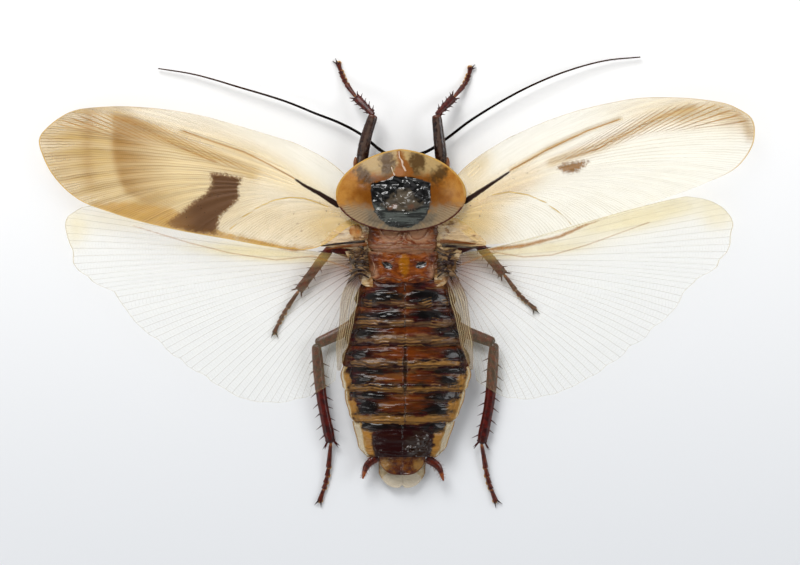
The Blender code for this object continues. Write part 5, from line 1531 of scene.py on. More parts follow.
def makeThoraxBlock(name, material):
    span, widths, tops = thoraxBlocks[name]
    share = np.linspace(0.0, 1.0, 60)
    y = blend(*span, share)
    top = blend(*tops, share)
    rounded = np.sqrt(np.clip(np.minimum(share, 1.0 - share) / 0.08, 0.0, 1.0))
    path = np.stack([np.full_like(y, bodyMiddle), y, 0.5 * (thoraxFloor + top)], axis=-1)
    wide = blend(*widths, share) * blend(0.86, 1.0, rounded)
    high = 0.5 * (top - thoraxFloor) * blend(0.8, 1.0, rounded)

    def form(along, angle):
        square = (np.abs(np.cos(angle)) ** 3.2 + np.abs(np.sin(angle)) ** 3.2) ** (-1.0 / 3.2)
        seam = bell(along, 0.42 + 0.06 * np.sin(3.0 * angle), 0.025) + bell(along, 0.78, 0.02)
        spots = np.broadcast_arrays(along * 6.0, 3.0 * np.cos(angle), 3.0 * np.sin(angle))
        return square * (1.0 - 0.05 * seam + 0.025 * unevenness(np.stack(spots, axis=-1), 1.0, 7))

    shape = tube(path, wide, high, 72, form)
    along = shape["marks"]["length"]
    seam = 0.03 - np.minimum(np.abs(along - 0.42), np.abs(along - 0.78)) * 2.0
    marked(shape, seam=seam, dark=layered(shape["points"], (2.0, 2.0, 1.4), 17) - 0.3)
    addPiece(name + "_block", shape, material, "thorax", name)


bodyMaterial = hornMaterial("bodyHorn", bodyFinish)
for name in thoraxBlocks:
    makeThoraxBlock(name, bodyMaterial)


# The belly: one body with overlapping plates across its underside

belly = {"share": 0.84, "clearance": 0.3, "columns": 110, "rows": 210, "step": 0.16, "flangeThickness": 0.5}


def bellyLow(y, across):
    clear = blend(2.75, 0.0, ramp(-y, 10.5, 14.5))
    riseBehind = 1.4 * ramp(-y, 30.0, 36.0)
    roll = 1.9 * np.maximum(0.0, np.abs(across) - 0.45) ** 1.6 / 0.55 ** 1.6
    room = alongBody(y, "crownPlaces", "edges") - belly["flangeThickness"] - 0.9
    return np.minimum(np.maximum(clear, roll) + riseBehind, room)


def makeBelly():
    across, share = grid(belly["rows"], belly["columns"])
    y = blend(0.0, abdomen["rears"][-1], share)
    x = alongBody(y, "places", "middles") + alongBody(y, "places", "halfWidths") * across * belly["share"]
    above = across * belly["share"] / 0.95
    crown, edge = [alongBody(y, "crownPlaces", values) for values in ("crowns", "edges")]
    top = blend(edge, crown, backProfile(above))
    top = top - blend(0.8, 0.5, ramp(np.abs(above), 0.6, 0.9)) - belly["clearance"]
    rears = np.array((0.3,) + abdomen["rears"])
    plate = np.clip(np.searchsorted(-rears, -y) - 1, 0, len(rears) - 2)
    local = (y - rears[plate]) / (rears[plate + 1] - rears[plate])
    spots = level(x, y)
    low = bellyLow(y, across) + belly["step"] * (1.0 - local) ** 2
    low = low + 0.05 * (1.0 + layered(spots, (2.6, 0.9, 1.0), 13))
    low = np.where(np.abs(across) > 0.97, low + 0.25, low)
    marks = {
        "seam": 0.1 - np.minimum(local, 1.0 - local) * 4.0,
        "dark": 0.5 - np.abs(np.abs(across) - 0.55) * 4.0 + 0.3 * layered(spots, 2.0, 19),
    }
    shape = sheet(x, y, top, np.minimum(low, top - 0.3), across * 0.5 + 0.5, share, marks)
    addPiece("belly_plates", shape, bodyMaterial, "abdomen", "belly")


makeBelly()
print("thorax and belly made")


# The tail: an amber plate, a pale one under it and two curved horns

tailRoot = -34.6
tailPlates = {
    "anal_plate": {
        "tip": -38.6, "half": 4.5, "corner": 2.3, "notch": 0.0, "level": 4.1, "tilt": 0.9, "seed": 3,
        "finish": {
            "base": (124, 76, 36), "baseDark": (84, 46, 22), "rough": 0.3, "coat": 0.3,
            "relief": 0.03, "mottleSize": 1.0,
            "layers": (
                ("pale", (186, 142, 76), 0.6, 0.9, 0.6, 0.35), ("edge", (104, 58, 24), 0.12, 0.1, 0.8, 0.3),
                ("tipMark", (64, 30, 14), 0.2, 0.3, 0.9, 0.3),
            ),
        },
    },
    "subgenital_plate": {
        "tip": -41.3, "half": 4.7, "corner": 3.0, "notch": 0.5, "level": 1.9, "tilt": 0.5, "seed": 9,
        "finish": {
            "base": (214, 196, 160), "baseDark": (196, 172, 132), "rough": 0.4,
            "relief": 0.03, "mottleSize": 1.2,
            "layers": (
                ("pale", (238, 222, 188), 0.4, 0.4, 0.7, 0.4), ("edge", (150, 104, 58), 0.1, 0.08, 0.8, 0.35),
                ("tipMark", (110, 72, 40), 0.15, 0.2, 0.8, 0.35),
            ),
            "clear": ("clearRim", (226, 212, 186), 0.6),
        },
    },
}


def makeTailPlate(name, plan):
    across, share = grid(80, 110)
    end = plan["tip"] + plan["corner"] * np.abs(across) ** 3.4 + plan["notch"] * bell(across, 0.0, 0.08)
    y = blend(tailRoot, end, share)
    x = plan["half"] * across
    height = plan["level"] - plan["tilt"] * share + 0.35 * (1.0 - across ** 2)
    rim = np.minimum((1.0 - np.abs(across)) * plan["half"], (1.0 - share) * (tailRoot - end))
    top = height + 0.1 * layered(level(x, y, plan["seed"]), (1.6, 0.8, 1.0), plan["seed"])
    top = top + 0.1 * bell(rim, 0.2, 0.2) - 0.18 * bell(x, 0.0, 0.2) * ramp(share, 0.2, 0.5)
    bottom = height - 0.6 + 0.3 * bell(rim, 0.0, 0.3)
    tipOval = (-0.3, plan["tip"] + plan["notch"] + 0.35, 1.1 - plan["notch"], 0.4, 0.0)
    marks = {
        "pale": insideOvals(x, y, ((-3.6, -36.6, 1.3, 1.1, 30.0), (3.6, -36.6, 1.3, 1.1, -30.0))),
        "edge": 0.22 - rim,
        "tipMark": insideOvals(x, y, (tipOval,)),
        "clearRim": 3.2 - np.hypot(x * 0.6, y - plan["tip"]) + rim * 0.3 - 0.3,
    }
    shape = sheet(x, y, top, bottom, across * 0.5 + 0.5, share, marks)
    addPiece(name + "_plate", shape, hornMaterial(name + "Horn", plan["finish"]), "amber_plate", name)


for name, plan in tailPlates.items():
    makeTailPlate(name, plan)


# Fine stiff hairs: thin cones rooted on a tube, leaning towards its far end

clearOfFloor = 0.02


def hairsOn(path, wide, high, count, length, seed, lean=1.2, radius=0.022, upward=(0.0, 0.0, 1.0)):
    random = np.random.default_rng(seed)
    along = unit(np.gradient(path, axis=0))
    across = unit(np.cross(along, upward))
    over = np.cross(across, along)
    place = random.uniform(0.03, 0.97, count) * (len(path) - 1)
    row = place.astype(int)
    angle = random.uniform(0.0, 2.0 * math.pi, count)
    aside, above = [across[row] * np.cos(angle)[:, None], over[row] * np.sin(angle)[:, None]]
    outwards = aside + above
    root = path[row] + aside * wide[row][:, None] + above * high[row][:, None]
    direction = unit(outwards + along[row] * (lean * random.uniform(0.7, 1.4, count))[:, None])
    reach = (length * random.uniform(0.5, 1.2, count))[:, None]
    side = unit(np.cross(direction, random.normal(size=(count, 3))))
    other = np.cross(direction, side)
    base = root - outwards * 0.05
    corners = [base + radius * (side * math.cos(turn) + other * math.sin(turn)) for turn in (0.0, 2.1, 4.2)]
    points = np.concatenate(corners + [root + direction * reach])
    points[:, 2] = np.maximum(points[:, 2], clearOfFloor)
    a, b, c, tip = [np.arange(count) + corner * count for corner in range(4)]
    faces = [np.stack(group, axis=-1) for group in ((a, b, tip), (b, c, tip), (c, a, tip), (c, b, a))]
    flat = np.stack([angle / (2.0 * math.pi), place / (len(path) - 1)], axis=-1)
    flat = np.concatenate([flat + 0.0015 * np.array(offset) for offset in ((0, 0), (1, 0), (0, 1), (1, 1))])
    return {"points": points, "faces": faces, "flat": flat, "marks": {}}


def thorn(root, tip, radius, bend, around, rows, **marks):  # a curved spine or claw
    middle = 0.5 * (root + tip) + np.array([0.0, 0.0, bend])
    taper = radius * (1.0 - np.linspace(0.0, 1.0, rows) ** 1.3) + 0.018
    path = through((root, middle, tip), rows)
    return marked(tube(path, taper, taper, around, lowest=clearOfFloor), **marks)


cerci = {
    "left": ((4.9, -34.9, 3.1), (7.0, -36.7, 3.15), (7.9, -39.4, 2.6)),
    "right": ((4.9, -35.2, 3.1), (7.3, -37.0, 3.15), (8.35, -39.8, 2.6)),
}
cercusRings = 11.0
cercusFinish = {
    "base": (104, 46, 24), "baseDark": (66, 26, 16), "rough": 0.3, "coat": 0.3, "relief": 0.02,
    "mottleSize": 0.7,
    "layers": (("tip", (176, 92, 38), 0.25, 0.1, 0.9, 0.3), ("ring", (44, 18, 12), 0.05, 0.03, 0.3, 0.35)),
}


def makeCercus(side, material):
    path = through(onSide(side, cerci[side]), 90)
    share = np.linspace(0.0, 1.0, 90)
    ringWave = np.abs(np.sin(math.pi * cercusRings * share)) ** 0.5
    wide = blend(0.88, 0.14, share ** 2) * (0.97 + 0.03 * ringWave)
    body = tube(path, wide, 0.7 * wide, 22)
    along = body["marks"]["length"]
    marked(body, tip=(along - 0.72) * 5.0, ring=0.1 - np.abs(np.sin(math.pi * cercusRings * along)) * 0.5)
    hairs = hairsOn(path, wide, 0.7 * wide, 240, 0.75, 5 + (side == "left"), 0.7)
    addPiece("cercus_horn_" + side, joined([body, hairs], 0.0), material, "leg", "cercus_" + side)


cercusMaterial = hornMaterial("cercusHorn", cercusFinish)
for side in sides:
    makeCercus(side, cercusMaterial)
print("tail made")


# Wing roots: a skin between the wings and the thorax, stiff bars, and a tangle of folded dark pieces

rootSkins = {  # front line and rear line of each skin, and its level
    "left": (
        ((-6.4, 13.4), (-10.4, 12.6), (-16.2, 7.9)),
        ((-6.2, 6.0), (-9.6, 6.6), (-16.2, 7.2)), (6.0, 5.85),
    ),
    "right": (
        ((6.8, 13.4), (10.8, 12.8), (16.8, 8.2)),
        ((6.8, 6.2), (10.4, 6.8), (16.8, 7.4)), (6.0, 5.85),
    ),
    "rearLeft": (
        ((-6.0, 6.6), (-8.6, 6.7), (-11.4, 6.2)),
        ((-5.8, -0.9), (-7.6, -0.6), (-9.0, 1.4)), (5.9, 5.5),
    ),
    "rearRight": (
        ((6.6, 6.8), (9.0, 6.9), (12.0, 6.4)),
        ((6.4, -0.9), (8.2, -0.6), (9.8, 1.4)), (5.9, 5.5),
    ),
}
skinTones = {
    "sheet": ((224, 202, 172), 0.75), "dark": ((152, 116, 84), 0.92), "fibre": ((122, 86, 58), 0.95),
    "pale": ((230, 214, 190), 0.75),
}
rootBars = {
    "left": (
        ((-7.0, 7.6, 6.3), (-10.8, 7.3, 6.35), (-15.2, 6.6, 5.9)),
        ((-7.4, 8.2, 6.2), (-11.2, 7.9, 6.2), (-16.2, 7.3, 5.9)),
    ),
    "right": (
        ((7.6, 8.2, 6.3), (11.6, 8.0, 6.4), (15.4, 7.6, 5.95)),
        ((8.0, 7.4, 6.3), (12.0, 7.1, 6.3), (16.6, 6.8, 5.9)),
    ),
}
rootPieces = {"seat": 5.7, "middle": (9.0, 4.4), "count": 16, "ribs": 16, "seed": 21}
rootFinish = {
    "base": (104, 76, 48), "baseDark": (60, 40, 26), "rough": 0.36, "shine": 0.2, "relief": 0.06,
    "mottleSize": 0.6, "grainSize": 0.12, "dust": 0.2,
    "layers": (
        ("pale", (156, 124, 88), 0.4, 0.4, 0.7, 0.35), ("dark", (48, 30, 20), 0.3, 0.3, 0.85, 0.3, 0.2),
        ("bar", (122, 72, 34), 0.1, 0.2, 0.9, 0.3), ("barEdge", (44, 22, 12), 0.1, 0.1, 0.9, 0.3),
    ),
}


def makeRootSkin(name, material):
    front, rear, levels = rootSkins[name]
    out, share = grid(90, 80, 0.0)
    upper, lower = [flatCurve(line, 80)[None, :, :2] for line in (front, rear)]
    places = blend(upper, lower, share[..., None])
    x, y = places[..., 0], places[..., 1]
    spots = level(x, y)
    fibre = layered(spots, (2.4, 0.5, 1.0), 51)
    height = blend(*levels, out) + 0.16 * fibre + 0.1 * layered(spots, 0.9, 55)
    behind = 0.75 if name.startswith("rear") else 0.0
    marks = {
        "dark": layered(spots, (1.8, 1.2, 1.0), 57) * 0.8 + behind - out * 1.4,
        "fibre": (fibre - 0.75 + 0.5 * behind) * 0.8 - out * 0.5,
        "pale": layered(spots, (1.4, 0.7, 1.0), 58) - 0.5,
    }
    skin = sheet(x, y, height + 0.08, height - 0.08, out, share, marks)
    addPiece("root_skin_" + name, skin, material, "hinge")


def makeSkinMaterial():
    material, tree, sockets = newMaterial("rootSkin", IOR=1.4, Roughness=0.4)
    tones = ("dark", "pale", "fibre")
    washes = [(name, times(tree, ragged(tree, name, 0.4, 0.5, 0.5), 0.85)) for name in tones]
    paintMembrane(tree, sockets, skinTones, washes, 0.6)
    setBump(tree, sockets, speckle(tree, 0.4), 0.06)
    return material


def foldedPiece(path, radius, seed, tone):
    share = np.linspace(0.0, 1.0, len(path))
    taper = radius * (0.35 + 0.65 * np.sin(math.pi * np.clip(share * 0.9 + 0.08, 0.0, 1.0)))

    def form(along, angle):
        parts = np.broadcast_arrays(along * 7.0, 1.4 * np.cos(angle), 1.4 * np.sin(angle))
        return 1.0 + 0.22 * layered(np.stack(parts, axis=-1), 1.0, seed, 2)

    return marked(tube(path, taper, 0.7 * taper, 14, form), pale=tone - 0.35, dark=-tone - 0.1)


def makeWingRoot(side, material):
    sign = sides[side]
    random = np.random.default_rng(rootPieces["seed"] + (side == "left"))
    away, ahead = rootPieces["middle"]
    middle = np.array([bodyMiddle + sign * away, ahead, rootPieces["seat"] + 0.3])
    shapes = []
    for piece in range(rootPieces["count"]):
        angle = random.uniform(0.0, 2.0 * math.pi)
        reach = math.sqrt(random.uniform(0.0, 1.0))
        offset = (1.6 * reach * math.cos(angle), 2.6 * reach * math.sin(angle), 0.5 - 0.3 * reach)
        start = middle + np.array(offset)
        bend = random.normal(0.0, 0.55, 3) * (1.0, 1.0, 0.3)
        end = start + np.array([random.uniform(-1.3, 1.3), random.uniform(-1.6, 1.0), -0.2])
        path = through((start, 0.5 * (start + end) + bend, end), 16)
        radius = random.uniform(0.28, 0.55)
        shapes.append(foldedPiece(path, radius, int(random.integers(1000)), random.uniform(-1.0, 0.8)))
    for rib in range(rootPieces["ribs"]):
        share = rib / (rootPieces["ribs"] - 1)
        start = middle + np.array([-sign * 2.2, blend(-3.4, 2.6, share), 0.1])
        bend = middle + np.array([-sign * 0.4, blend(-2.4, 1.9, share) + random.uniform(-0.4, 0.4), 0.6])
        end = middle + np.array([sign * random.uniform(1.0, 2.8), blend(-4.6, 2.4, share), -0.35])
        path = through((start, bend, end), 18)
        path[:, 2] += 0.1 * np.sin(np.arange(18) * 1.1 + rib)
        shapes.append(foldedPiece(path, random.uniform(0.12, 0.26), rib, random.uniform(-1.0, 1.0)))
    for number, points in enumerate(rootBars[side]):
        taper = blend(0.42 - 0.12 * number, 0.12, np.linspace(0.0, 1.0, 40))
        bar = 0.6 - 1.2 * number  # the first bar is amber, the second one dark
        shapes.append(marked(tube(through(points, 40), taper, 0.6 * taper, 14), bar=bar, barEdge=-bar))
    addPiece("wing_root_" + side, joined(shapes), material, "hinge", "hinge_" + side)


tegulaFinish = {
    "base": (212, 160, 102), "baseDark": (184, 122, 66), "rough": 0.36, "relief": 0.03, "mottleSize": 1.0,
    "layers": (("rim", (150, 92, 46), 0.1, 0.1, 0.8, 0.3), ("spot", (206, 128, 62), 0.3, 0.2, 0.7, 0.3)),
}


def makeTegula():
    def form(directions):
        return 1.0 + 0.05 * layered(directions, 0.9, 3, 2) - 0.12 * bell(directions[:, 0], 0.2, 0.12)

    middle = (bodyMiddle - wingRoot - 1.7, 10.2, 5.75)
    shape = lump(middle, (1.4, 1.6, 0.62), (0.0, 0.0, 12.0), 40, 60, form)
    x, y = shape["flat"].T * 2.0 - 1.0
    marked(shape, rim=np.hypot(x, y) * 1.5 - 1.3, spot=0.5 - np.hypot(x - 0.3, y + 0.1) * 1.6)
    material = hornMaterial("tegulaHorn", tegulaFinish)
    addPiece("tegula_scale_left", shape, material, "amber_plate", "tegula_left")


rootMaterial = hornMaterial("rootHorn", rootFinish)
for side in sides:
    makeWingRoot(side, rootMaterial)
skinMaterial = makeSkinMaterial()
for name in rootSkins:
    makeRootSkin(name, skinMaterial)
makeTegula()
print("wing roots made")


# The head hangs down under the shield, with its eyes, mouthparts and feelers

headShape = {
    "crown": (0.0, 24.6, 6.3), "mouth": (0.0, 20.9, 0.9),
    "stations": (0.0, 0.08, 0.2, 0.38, 0.55, 0.7, 0.82, 0.92, 1.0),
    "halfWidths": (0.9, 1.9, 2.7, 3.1, 2.8, 2.3, 1.9, 1.5, 0.8),
    "halfDepths": (0.5, 1.1, 1.6, 1.75, 1.6, 1.35, 1.1, 0.85, 0.4),
}
palps = (  # each palp's route outward from the midline, its radius and where its segments start
    (((1.1, 21.6, 1.9), (1.9, 20.9, 1.3), (2.7, 19.9, 1.3), (2.5, 18.8, 1.0), (1.9, 18.3, 0.8)),
     0.34, (0.0, 0.1, 0.24, 0.5, 0.74, 1.0)),
    (((0.55, 21.0, 1.2), (1.0, 20.3, 0.9), (1.35, 19.5, 0.75), (1.1, 18.9, 0.6)),
     0.24, (0.0, 0.3, 0.62, 1.0)),
)
headFinish = {
    "base": (92, 50, 28), "baseDark": (48, 24, 15), "rough": 0.3, "coat": 0.3, "relief": 0.03,
    "mottleSize": 0.9, "grainSize": 0.12,
    "layers": (
        ("face", (132, 76, 38), 0.4, 0.3, 0.7, 0.28), ("seam", (30, 15, 10), 0.06, 0.05, 0.8, 0.35),
        ("ocellus", (214, 186, 130), 0.08, 0.04, 0.95, 0.2), ("lip", (150, 96, 50), 0.15, 0.1, 0.8, 0.3),
        ("jaw", (30, 14, 9), 0.2, 0.1, 0.9, 0.2), ("palp", (118, 68, 38), 0.3, 0.2, 0.8, 0.35),
    ),
}


def headSize(station):  # half the head's width and depth there
    return [np.interp(station, headShape["stations"], headShape[key]) for key in ("halfWidths", "halfDepths")]


def headPoint(station, side, front):  # a place on the head's skin: side and front run from -1 to 1
    crown, mouth = np.array(headShape["crown"]), np.array(headShape["mouth"])
    forward = np.cross((1.0, 0.0, 0.0), unit(mouth - crown))
    half, depth = headSize(station)
    return blend(crown, mouth, station) + np.array([half * side, 0.0, 0.0]) + forward * depth * front


def segmentShare(joints, share):  # how far along its own segment each share is
    joints = np.asarray(joints)
    part = np.clip(np.searchsorted(joints, share, side="right") - 1, 0, len(joints) - 2)
    return (share - joints[part]) / (joints[part + 1] - joints[part])


def palpOf(side, route, radius, joints):  # a feeler of the mouth in swelling segments
    path = through(onSide(side, route), 70)
    share = np.linspace(0.0, 1.0, 70)
    local = segmentShare(joints, share)
    width = radius * (0.62 + 0.45 * local ** 0.7) * (1.0 - 0.25 * ramp(local, 0.93, 1.0))
    width = width * np.where(share > 0.96, np.sqrt(np.clip((1.02 - share) / 0.06, 0.0, 1.0)), 1.0)
    seam = alongRings(0.06 - local * 0.6, 16, 0.0, 0.0)
    body = marked(tube(path, width, width, 16, lowest=0.1), palp=1.0, seam=seam)
    return [body, hairsOn(path, width, width, 90, 0.35, 50 + int(10 * radius), 0.7, 0.018)]


def mouthparts(side):
    sign = sides[side]
    start, end = headPoint(0.8, 0.75 * sign, 0.5), headPoint(1.03, 0.1 * sign, 0.4)
    jawPath = through((start, 0.5 * (start + end) + np.array([0.35 * sign, 0.0, 0.0]), end), 24)
    jaw = tube(jawPath, np.linspace(0.62, 0.12, 24), np.linspace(0.5, 0.12, 24), 16, lowest=0.15)
    parts = [lump(headPoint(0.34, 0.46 * sign, 0.92), (0.62, 0.5, 0.42), (-35.0, 0.0, 0.0), 16, 24)]
    parts.append(marked(jaw, jaw=1.0))
    for palp in palps:
        parts += palpOf(side, *palp)
    return parts


def makeHead():
    share = np.linspace(0.0, 1.0, 90)
    crown, mouth = np.array(headShape["crown"]), np.array(headShape["mouth"])
    path = crown + (mouth - crown) * share[:, None]
    wide, deep = headSize(share)
    facing = np.sign(np.cross((1.0, 0.0, 0.0), mouth - crown)[1])

    def form(along, angle):
        front = ramp(facing * np.sin(angle), 0.3, 0.9)
        seams = 0.05 * bell(along, 0.62, 0.012) + 0.05 * bell(along, 0.8, 0.012)
        eyeSeat = 0.1 * bell(along, 0.3, 0.12) * bell(np.abs(np.cos(angle)), 1.0, 0.3)
        cheeks = 0.03 * np.cos(4.0 * angle) * bell(along, 0.5, 0.2)
        return 1.0 - 0.07 * front * bell(along, 0.42, 0.16) - seams * front - eyeSeat + cheeks

    capsule = tube(path, wide, deep, 64, form, (0.0, 1.0, 0.0))
    x, along = capsule["points"][:, 0], capsule["marks"]["length"]
    ahead = capsule["points"][:, 1] - np.interp(along, share, path[:, 1])
    isFront = np.where(ahead > 0.0, 0.0, farOutside)
    marked(
        capsule,
        face=1.3 - np.hypot(x, (along - 0.5) * 6.0) + isFront,
        seam=0.05 - np.minimum(np.abs(along - 0.62), np.abs(along - 0.8)) * 6.0 + isFront,
        ocellus=0.26 - np.hypot(np.abs(x) - 1.3, (along - 0.3) * 6.5) + isFront,
        lip=(along - 0.81) * 6.0,
    )
    lip = marked(lump(headPoint(0.93, 0.0, 0.62), (1.05, 0.42, 0.85), (38.0, 0.0, 0.0), 20, 30), lip=0.6)
    hairs = hairsOn(path, wide, deep, 160, 0.5, 41, 0.4, 0.02, (0.0, 1.0, 0.0))
    shapes = [capsule, *mouthparts("left"), *mouthparts("right"), lip, hairs]
    addPiece("head_capsule", joined(shapes, 0.0), hornMaterial("headHorn", headFinish), "head", "head")


def makeEye(side, material):
    sign = sides[side]
    middle = (sign * 2.7, 23.5, 4.9)

    def form(directions):
        return 1.0 + 0.03 * directions[:, 2] - 0.14 * bell(sign * directions[:, 0], -0.7, 0.4)

    shape = lump(middle, (1.0, 1.35, 1.85), (-33.0, 0.0, 0.0), 44, 56, form)
    marked(shape, rim=0.3 - (sign * (shape["points"][:, 0] - middle[0]) + 0.7))
    addPiece("compound_eye_" + side, shape, material, "eye", "eye_" + side)


def makeEyeMaterial():  # a black lens field of tiny facets
    material, tree, sockets = newMaterial("eyeFacets", IOR=1.55, Coat_Roughness=0.06, Coat_Weight=0.5)
    facetSize = 0.09 * millimetre
    facets = addNode(tree, "ShaderNodeTexVoronoi", {"Vector": ownPlace(tree), "Scale": 1.0 / facetSize})
    dome = maths(tree, "SUBTRACT", 1.0, facets.outputs["Distance"])
    cloud = eased(tree, speckle(tree, 0.8), 0.3, 0.7)
    black, brown, edge = [colour(tone) for tone in ((14, 13, 18), (40, 30, 30), (74, 44, 26))]
    paint = mixed(tree, cloud, black, brown)
    tree.links.new(mixed(tree, ragged(tree, "rim", 0.1, 0.05, 0.4), paint, edge), sockets["Base Color"])
    tree.links.new(eased(tree, dome, 0.4, 1.0, 0.32, 0.14), sockets["Roughness"])
    setBump(tree, sockets, dome, 0.03)
    return material


makeHead()
eyeMaterial = makeEyeMaterial()
for side in sides:
    makeEye(side, eyeMaterial)
print("head made")


# Feelers: a thick base joint, then more than a hundred short rings that thin towards the tip

feelers = {
    "left": (
        (2.0, 25.1, 4.3), (4.4, 26.6, 3.2), (8.0, 29.6, 2.2), (12.6, 32.1, 2.0), (17.2, 33.9, 2.0),
        (22.6, 36.1, 2.0), (32.5, 39.2, 1.7), (42.4, 42.0, 1.2), (49.1, 43.1, 0.8)),
    "right": (
        (2.0, 25.2, 4.3), (5.2, 26.4, 3.2), (9.2, 29.1, 2.2), (13.4, 32.3, 2.0), (17.6, 35.0, 2.0),
        (24.6, 38.9, 2.0), (33.4, 42.6, 1.7), (41.2, 44.7, 1.2), (48.0, 45.4, 0.8)),
}
feelerSizes = {"base": 0.36, "tip": 0.13, "rings": 118, "steps": 950, "around": 10}
feelerFinish = {
    "base": (38, 20, 16), "baseDark": (26, 13, 11), "rough": 0.6, "shine": 0.05, "relief": 0.015,
    "mottleSize": 0.8,
    "layers": (("joint", (70, 44, 34), 0.03, 0.02, 0.5, 0.55), ("tip", (86, 58, 46), 6.0, 0.3, 0.7, 0.5)),
}


def makeFeeler(side, material):
    path = through(onSide(side, feelers[side]), feelerSizes["steps"])
    share = np.linspace(0.0, 1.0, feelerSizes["steps"])
    ring = (share * feelerSizes["rings"]) % 1.0
    width = blend(feelerSizes["base"], feelerSizes["tip"], share ** 0.75) * (0.86 + 0.2 * ring ** 0.7)
    width = width * (1.0 + 0.9 * bell(share, 0.008, 0.012) + 0.25 * bell(share, 0.03, 0.007))
    around = feelerSizes["around"]
    body = marked(
        tube(path, width, width, around),
        joint=alongRings(0.05 - ring * 0.3, around, 0.0, 0.0),
        tip=alongRings((share - 0.6) * 25.0, around, farOutside, -farOutside),
    )
    hairs = hairsOn(path, width, width, 1100, 0.22, 61 + (side == "left"), 1.0, 0.012)
    nodes = [f"antenna_{side}_{number}" for number in (1, 2, 3)]
    addPiece("feeler_" + side, joined([body, hairs], 0.0), material, "feeler", *nodes)


feelerMaterial = hornMaterial("feelerHorn", feelerFinish)
for side in sides:
    makeFeeler(side, feelerMaterial)
print("feelers made")


# Legs: hip, thigh, shin and foot

legs = {
    "fore_left": {
        "coxa": ((3.0, 17.0, 1.85), (6.2, 21.0, 2.6), (8.3, 23.0, 3.0)),
        "femur": ((8.5, 23.8, 3.3), (7.2, 29.0, 4.2), (5.7, 33.6, 4.5)),
        "tibia": ((5.95, 34.4, 4.25), (9.3, 37.3, 2.0)),
        "tarsus": ((9.6, 37.6, 1.55), (11.75, 41.0, 0.6), (12.9, 44.3, 0.38)),
        "claws": ((1.2, 0.4), (0.6, 1.0)),
    },
    "fore_right": {
        "coxa": ((3.0, 17.0, 1.85), (6.0, 21.0, 2.6), (8.1, 23.0, 3.0)),
        "femur": ((8.2, 23.8, 3.3), (7.4, 29.0, 4.2), (6.9, 33.6, 4.5)),
        "tibia": ((7.05, 34.35, 4.25), (10.5, 37.3, 2.0)),
        "tarsus": ((10.75, 37.65, 1.6), (13.15, 40.9, 0.6), (13.85, 43.4, 0.38)),
        "claws": ((1.2, -0.1), (0.9, 0.6)),
    },
    "mid_left": {
        "coxa": ((2.9, 8.8, 1.5), (4.6, 6.3, 1.4), (5.5, 4.4, 1.3)),
        "femur": ((6.55, 4.0, 1.7), (10.4, 6.0, 2.4), (14.2, 7.2, 2.9)),
        "tibia": ((14.95, 6.7, 2.7), (20.8, -1.7, 1.2)),
        "tarsus": ((21.1, -2.2, 1.0), (24.2, -6.9, 0.5), (25.8, -10.2, 0.38)),
        "claws": ((-0.9, -1.1), (0.6, -1.0)),
    },
    "mid_right": {
        "coxa": ((2.9, 8.8, 1.5), (4.6, 6.3, 1.4), (5.5, 4.4, 1.3)),
        "femur": ((6.55, 4.2, 1.7), (10.8, 6.6, 2.4), (15.0, 8.1, 2.9)),
        "tibia": ((15.75, 7.65, 2.7), (20.5, 1.6, 1.2)),
        "tarsus": ((20.8, 1.1, 1.0), (24.4, -3.2, 0.5), (26.9, -5.4, 0.38)),
        "claws": ((-0.5, -1.3), (0.9, -0.9)),
    },
    "hind_left": {
        "coxa": ((2.4, 2.0, 1.4), (3.6, -1.4, 1.3), (4.3, -4.3, 1.2)),
        "femur": ((4.9, -5.0, 1.25), (11.2, -9.4, 1.6), (17.3, -12.4, 2.2)),
        "tibia": ((17.65, -13.2, 2.1), (16.0, -24.0, 1.8), (14.3, -32.3, 1.3)),
        "tarsus": ((14.3, -32.9, 1.1), (15.3, -40.0, 0.5), (16.6, -44.1, 0.38)),
        "claws": ((1.1, -0.8), (-0.3, -1.3)),
    },
    "hind_right": {
        "coxa": ((2.4, 2.0, 1.4), (3.6, -1.4, 1.3), (4.3, -4.3, 1.2)),
        "femur": ((4.9, -5.0, 1.25), (11.8, -9.4, 1.6), (18.6, -12.2, 2.2)),
        "tibia": ((19.1, -13.0, 2.1), (17.6, -24.0, 1.8), (16.0, -32.5, 1.3)),
        "tarsus": ((16.1, -33.25, 1.05), (17.6, -40.5, 0.5), (18.9, -44.1, 0.38)),
        "claws": ((1.4, -0.6), (0.0, -1.4)),
    },
}
legSizes = {
    "fore": {"coxa": 1.5, "femur": 1.15, "tibia": 0.72, "tarsus": 0.54},
    "mid": {"coxa": 1.6, "femur": 1.2, "tibia": 0.85, "tarsus": 0.5},
    "hind": {"coxa": 1.8, "femur": 1.3, "tibia": 0.98, "tarsus": 0.55},
}
legPieces = ("coxa", "femur", "tibia", "tarsus")
legHairs = {"coxa": 50, "femur": 150, "tibia": 130}
legFlatness = {"coxa": 0.55, "femur": 0.62, "tibia": 0.75, "tarsus": 0.85}
legTapers = {
    "coxa": (0.6, 0.95, 1.0, 0.95, 0.8, 0.7, 0.6),
    "femur": (0.6, 0.84, 1.0, 1.0, 0.98, 0.95, 0.9, 0.87, 0.84, 0.74),
    "foreTibia": (0.62, 0.7, 0.78, 0.84, 0.9, 0.96, 1.04, 1.1, 0.8),
    "tibia": (0.86, 1.0, 1.06, 1.04, 1.0, 0.98, 0.96, 1.04, 0.86),
}
tarsusJoints = (0.0, 0.42, 0.56, 0.68, 0.78, 1.0)
spines = {
    "counts": {"fore": 8, "mid": 9, "hind": 15}, "span": (0.14, 0.9), "lean": 0.8,
    "crowns": {"fore": 4, "mid": 4, "hind": 6}, "crownShare": 0.97, "crownLeans": (1.5, 2.1, 2.9),
    "lengths": {"fore": 1.0, "mid": 1.2, "hind": 1.75}, "root": 0.16, "seed": 7,
}
